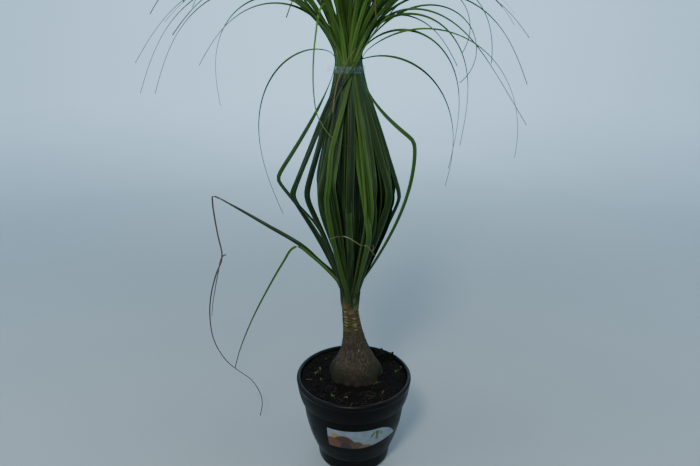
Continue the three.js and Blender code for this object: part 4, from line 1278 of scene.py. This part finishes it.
# %% Dry end of the sprung leaf
DRY_END = [
    (-262.4, 43, 567.2), (-277, 44, 572), (-279, 46, 560), (-278, 47, 532), (-275, 52, 488), (-271, 58, 437),
    (-288, 64, 394), (-303, 70, 345), (-311, 77, 293), (-309, 86, 227), (-288, 94, 171), (-267, 98, 145),
    (-234, 104, 111), (-216, 110, 67), (-215, 114, 36), (-222, 117, 4),
]
DRY_SPLIT = [
    (-262, 57, 443), (-271, 58, 437), (-282, 58, 400), (-291, 57, 362), (-297, 56, 334), (-302, 56, 301),
]
dry_end = joined("dry_leaf_end_thread", [
    hand_laid(DRY_END, tapering(3.6, 1.8), 0.6), hand_laid(DRY_SPLIT, tapering(3, 1.4), 0.7),
])
paint(dry_end, dry)
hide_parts("dry_leaf_end")

# %% Threads and dry strips on the plant
LONG_THREAD = [
    (-44, -72, 527), (-27, -78, 534), (-15, -80, 534), (-4, -80, 528), (8, -78, 519), (16, -76, 515),
    (22, -75, 515), (28, -73, 508), (32, -70, 501), (41, -66, 488),
]
SIDE_THREAD = [(32, -70, 501), (35, -68, 507), (34, -66, 513)]
HIGH_STRIP = [
    (2, -25, 857), (-11, -27, 841), (-24, -29, 817), (-31, -35, 796), (-36, -43, 771), (-38, -49, 752),
]
threads = joined("dry_threads", [
    hand_laid(LONG_THREAD, tapering(2.6, 1), 0.85), hand_laid(SIDE_THREAD, tapering(1.6, 0.8), 0.7),
    hand_laid(HIGH_STRIP, tapering(1.4, 2.2), 0.7),
])
paint(threads, dry)

# %% [markdown]
# ## The tie
# A band of clear tape, 12 mm wide, gathers the leaves, and its two ends are stuck face to face in a short
# flag. The band is a cylinder's side with thickness added. It is a little crooked, as tape is when it is
# wound over leaves.

# %% Tape band and flag
TAPE_R, TAPE_T, TAPE_W, TAPE_ROWS = 29.2, 0.35, 12, 5
FLAG_ANGLE, FLAG_REACH, FLAG_T, FLAG_OFF, FLAG_BOW = 186, 8, 0.6, 0.4, 0.9
tie_x, tie_y = bunch_axis(TIE_Z)
select_only()
bpy.ops.mesh.primitive_cylinder_add(vertices=96, radius=(TAPE_R + TAPE_T) * MM, depth=TAPE_W * MM,
                                    end_fill_type="NOTHING", location=(tie_x * MM, tie_y * MM, TIE_Z * MM))
band_shape = bpy.context.object
bpy.ops.object.mode_set(mode="EDIT")
for k in range(1, TAPE_ROWS):
    cut_z = TIE_Z - TAPE_W / 2 + TAPE_W * k / TAPE_ROWS
    bpy.ops.mesh.select_all(action="SELECT")
    bpy.ops.mesh.bisect(plane_co=(tie_x * MM, tie_y * MM, cut_z * MM), plane_no=(0, 0, 1))
bpy.ops.object.mode_set(mode="OBJECT")
for vertex in band_shape.data.vertices:
    turn = math.atan2(vertex.co.y, vertex.co.x)
    press = 0.25 * math.sin(9 * turn + 1) + 0.2 * math.sin(17 * turn + vertex.co.z * 300)
    vertex.co.x *= 1 + press / TAPE_R
    vertex.co.y *= 1 + press / TAPE_R
    vertex.co.z += 0.5 * math.sin(turn - 0.6) * MM
thicken(band_shape, TAPE_T * MM)
settle(band_shape)
bpy.ops.mesh.primitive_grid_add(x_subdivisions=8, y_subdivisions=4, size=1)
flag = bpy.context.object
flag_turn = math.radians(FLAG_ANGLE)
for vertex in flag.data.vertices:
    out = TAPE_R + FLAG_OFF + (vertex.co.x + 0.5) * FLAG_REACH
    bow = FLAG_BOW * (vertex.co.x + 0.5) ** 2
    vertex.co = Vector((
        tie_x + out * math.cos(flag_turn) - bow * math.sin(flag_turn),
        tie_y + out * math.sin(flag_turn) + bow * math.cos(flag_turn),
        TIE_Z + vertex.co.y * TAPE_W,
    )) * MM
thicken(flag, FLAG_T * MM)
settle(flag)
tape = settle(joined("tape_band", [band_shape, flag]), smooth_angle=35)

# %% [markdown]
# Clear tape is polypropylene film. It shows the leaves through it but veils them with a pale blue-grey
# haze, and it flashes where it faces a lamp. The haze comes from air trapped under the glue, in patches,
# and the flash is broken where the film is creased.

# %% Clear film tape
film_tape = Finish("clear_polypropylene_tape")
trapped = film_tape.noise(film_tape.place, 190, 3)
film_tape.shade(Alpha=film_tape.ranged(trapped, 0.35, 0.7, 0.04, 0.17), Roughness=0.14, IOR=1.49,
                Base_Color=film_tape.ramp(trapped, [(0.3, "#5f737c"), (0.7, "#8496a0")]),
                Normal=film_tape.bump(trapped, 0.5, 1.5))
paint(tape, film_tape)
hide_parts("tape_tie")

# %% [markdown]
# ## The label
# A printed film label is stuck to the front of the pot. It is a flat strip bent to the wall, wide at the
# left and drawn out to a point at the right. It is modelled as a fine grid, whose points are laid on the
# wall, and given its thickness. The grid's UV map carries the print.

# %% Label strip
LABEL_LEFT, LABEL_RIGHT, LABEL_LOW_Z, LABEL_HIGH_Z, LABEL_TIP_Z = 239, 324, 82, 129, 96
LABEL_TIP_HALF, LABEL_LOW_RISES, LABEL_HIGH_FALLS, LABEL_FALL_CURVE = 1, 0.4, 0.66, 2.2
LABEL_OFF, LABEL_T = 0.45, 0.3


def label_edges(u):
    """The label's lower and upper edge at a share u of its way from left to right."""
    rise = smooth((u - LABEL_LOW_RISES) / (1 - LABEL_LOW_RISES))
    drop = max(0, (u - LABEL_HIGH_FALLS) / (1 - LABEL_HIGH_FALLS)) ** LABEL_FALL_CURVE
    return (mix(LABEL_LOW_Z, LABEL_TIP_Z - LABEL_TIP_HALF, rise),
            mix(LABEL_HIGH_Z, LABEL_TIP_Z + LABEL_TIP_HALF, drop))


select_only()
bpy.ops.mesh.primitive_grid_add(x_subdivisions=90, y_subdivisions=12, size=1)
label = bpy.context.object
for vertex in label.data.vertices:
    u, v = vertex.co.x + 0.5, vertex.co.y + 0.5
    z = mix(*label_edges(u), v)
    turn = math.radians(mix(LABEL_LEFT, LABEL_RIGHT, u))
    r = wall_radius(z) + rib(z) + LABEL_OFF
    vertex.co = Vector((r * math.cos(turn), r * math.sin(turn), z)) * MM
label.name = "label_strip"
thicken(label, LABEL_T * MM, 1)
settle(label, smooth_angle=40)

# %% [markdown]
# The print is a plain pattern of this model's own: rust and brown hills along the lower edge under a low
# sun, a sprig of green leaves at the right and a thin line below it, on a pale grey ground. Each motif is
# a shape in the label's own coordinates, in millimetres, that a few nodes cut out.

# %% Printed film
print_film = Finish("printed_label_film")
LABEL_LONG, LABEL_TALL, OVAL_EDGE = 136, 47, 0.06
# Middle from the left, half width, height and colour of each hill
HILLS = [(30, 24, 34, "#41251a"), (8, 20, 26, "#5a3524"), (52, 17, 20, "#4c3726"), (34, 11, 17, "#2d1f19"),
         (70, 12, 9, "#64472f")]
# Place, tilt and colour of each leaf of the sprig, and of its stem
SPRIG = [(84, 33, 60, "#3c5c28"), (92, 35, 90, "#2f4922"), (100, 33, 120, "#537233"), (92, 24, 90, "#5a4630")]
flat = print_film.scaled(print_film.add("UVMap", uv_map="UVMap"), (LABEL_LONG, LABEL_TALL, 1))
right, up, _ = print_film.parts(flat)


def oval(x, y, wide, tall, tilt=0):
    """1 inside an oval of these half widths about a point, in millimetres, and 0 outside."""
    inputs = {"Vector": flat, "Location": (x, y, 0), "Scale": (wide, tall, 1),
              "Rotation": (0, 0, math.radians(tilt))}
    away = print_film.length(print_film.add("Mapping", inputs, vector_type="TEXTURE"))
    return print_film.between(away, 1 + OVAL_EDGE, 1 - OVAL_EDGE)


line_height = print_film.times(print_film.between(up, 5.2, 5.8), print_film.between(up, 7.4, 6.8))
thin_line = print_film.times(print_film.times(line_height, print_film.between(right, 79, 80)), 0.7)
ground_colour = print_film.ramp(print_film.noise(flat, 0.08), [(0.3, "#666e73"), (0.7, "#777e83")])
ink = print_film.over(ground_colour, [
    (oval(16, 31, 8, 8), "#7c6a3c"),
    *((oval(x, 0, wide, tall), text) for x, wide, tall, text in HILLS),
    *((oval(x, y, 8, 2.6, tilt), text) for x, y, tilt, text in SPRIG),
    (thin_line, "#6e7472"),
])
print_film.shade(Base_Color=ink, Roughness=0.38, IOR=1.5)
paint(label, print_film)
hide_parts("label")

# %% [markdown]
# ## Small growth on the soil
# Weed seedlings have come up: each has a thread of a stem and two or three small round leaves. One leaf
# is modelled from a circle, dished a little, and copied. Straws and fine root fibres lie about as well,
# one of them over the rim, and small cushions of moss grow at the foot of the trunk.

# %% Seedlings and moss
# Place, size of a leaf, and tone
SEEDLINGS = [(-71, 16, 3, 0.75), (-76, 8, 2.6, 0.6), (-80, 1, 3.2, 0.8), (-68, -22, 2.6, 0.7),
             (-72, 22, 2.4, 0.9), (-37, -20, 2.6, 0.7), (-44, -77, 3, 0.75), (-40, -80, 2.2, 0.6),
             (89, 8, 3, 0.7), (101, 25, 2.8, 0.8), (94, 14, 2.2, 0.6), (25, 93, 2.6, 0.6),
             (-60, 60, 2.8, 0.7)]
# Place and number of tufts
MOSS = [(-36, -25, 14), (44, -29, 46)]
STEM_W, PAD_TILT = 0.8, -0.35
select_only()
bpy.ops.mesh.primitive_circle_add(vertices=10, radius=0.5, fill_type="TRIFAN")
pad = bpy.context.object
bpy.ops.object.mode_set(mode="EDIT")
select_vertices(lambda co: co.length < 0.1)
bpy.ops.transform.translate(value=(0, 0, -0.12))
bpy.ops.mesh.select_all(action="SELECT")
bpy.ops.transform.resize(value=(1, 0.72, 1), center_override=(0, 0, 0))
bpy.ops.object.mode_set(mode="OBJECT")
thicken(pad, 0.1)
settle(pad)
seedlings = []


def add_pad(size, turns, x, y, z, tone):
    seedlings.append(copy_of(pad))
    write_values(seedlings[-1], "tone", tone)
    seedlings[-1].scale = (size * MM,) * 3
    seedlings[-1].rotation_euler = turns
    seedlings[-1].location = (x * MM, y * MM, z * MM)


for k, (x, y, size, tone) in enumerate(SEEDLINGS):
    x, y = inside_pot(x, y)
    foot, top = ground(x, y) - 2, ground(x, y) + 4 + 3 * draw(k, 60)
    lean = 2 * spread(k, 61)
    stem = [Station((x + (1 - s) * lean, y, mix(foot, top, s)), 0, STEM_W) for s in np.linspace(0, 1, 5)]
    seedlings.append(bent(rod, stem, tone))
    for j in range(2 + (draw(k, 62) > 0.5)):
        turn = 2.2 * j + 6.28 * draw(k, 63)
        pad_x, pad_y = x + 0.5 * size * math.cos(turn), y + 0.5 * size * math.sin(turn)
        add_pad(size, (0, PAD_TILT, turn), pad_x, pad_y, top, tone)
for x, y, tufts in MOSS:
    for j in range(tufts):
        tone, size = draws.uniform(0.5, 0.9), draws.uniform(1.4, 2.6)
        turns = draws.uniform(-1, 1), draws.uniform(-1, 1), any_turn()
        near_x, near_y = x + 3.8 * draws.normal(), y + 2.4 * draws.normal()
        add_pad(size, turns, near_x, near_y, ground(near_x, near_y) + draws.uniform(0.5, 3), tone)
bpy.data.objects.remove(pad)
seedlings = settle(joined("weed_seedlings", seedlings), smooth_angle=50)
SPROUT_STOPS = [(0.2, "#26361a"), (0.5, "#3a4f26"), (0.8, "#536a34"), (1.0, "#748a4c")]
paint(seedlings, speckled("seedling_green", SPROUT_STOPS, 5, 1, 0.5, 0.2))

# %% Straws and fibres on the soil
# Both ends, width and tone
STRAWS = [((57, -66), (62, -54), 1.3, 0.7), ((-1, -95), (-8, -121), 0.9, 0.6),
          ((-20, -80), (-13, -82), 1.6, 0.95), ((-99, -17), (-94, -17), 1.8, 0.8),
          ((-91, -18), (-86, -16), 1.6, 0.75), ((28, -84), (40, -78), 0.8, 0.5)]
FIBRES, FIBRE_W, FIBRE_STEPS = 90, 0.55, 7
# A pale flake that sticks to the front of the trunk
FLAKE_X, FLAKE_Y, FLAKE_LOW_Z, FLAKE_TOP_Z, FLAKE_W, FLAKE_FACES = 9.9, -12.6, 257, 261, 1.7, -1.28
straws = []
for (x0, y0), (x1, y1), wide, tone in STRAWS:
    line = []
    for s in np.linspace(0, 1, 7):
        x, y = mix(x0, x1, s), mix(y0, y1, s)
        under = POT_H if math.hypot(x, y) > LITTER_REACH else ground(x, y)
        line.append(Station((x, y, under + 1 + 2 * math.sin(math.pi * s)), math.pi / 2, wide))
    straws.append(bent(short_blade, line, tone))
for k in range(FIBRES):
    x, y = inside_pot(*free_spot(52, 104), 104)
    if draws.random() < 0.4:
        x, y = draws.uniform(-45, 60), -draws.uniform(62, 98)
        x, y = inside_pot(x, y, 103)
    heading, long, curl = any_turn(), draws.uniform(7, 22), draws.uniform(-0.09, 0.09)
    line = []
    for step in range(FIBRE_STEPS + 1):
        near = inside_pot(x, y, LITTER_REACH)
        lift = 0.6 + 0.9 * math.sin(math.pi * step / FIBRE_STEPS)
        line.append(Station((*near, ground(*near) + lift), math.pi / 2, FIBRE_W))
        x, y = x + long / FIBRE_STEPS * math.cos(heading), y + long / FIBRE_STEPS * math.sin(heading)
        heading += curl * long / 3
    straws.append(bent(short_rod, line, draws.uniform(0.05, 0.5)))
heights = np.linspace(FLAKE_LOW_Z, FLAKE_TOP_Z, 4)
flake = [Station((FLAKE_X, FLAKE_Y, z), FLAKE_FACES, FLAKE_W) for z in heights]
straws.append(bent(short_blade, flake, 1.0))
straws = joined("straws_and_fibres", straws)
paint(straws, dry)

# %% [markdown]
# The models that were only copied from go, and the object's size is printed beside the imported solid's.

# %% Finish
for base in (leaf_blade, short_blade, rod, short_rod):
    bpy.data.objects.remove(base)
own_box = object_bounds()
for label_text, (lowest, highest) in (("packed", cad_box), ("dressed", own_box)):
    print(label_text, [round(v / MM) for v in lowest], [round(v / MM) for v in highest])
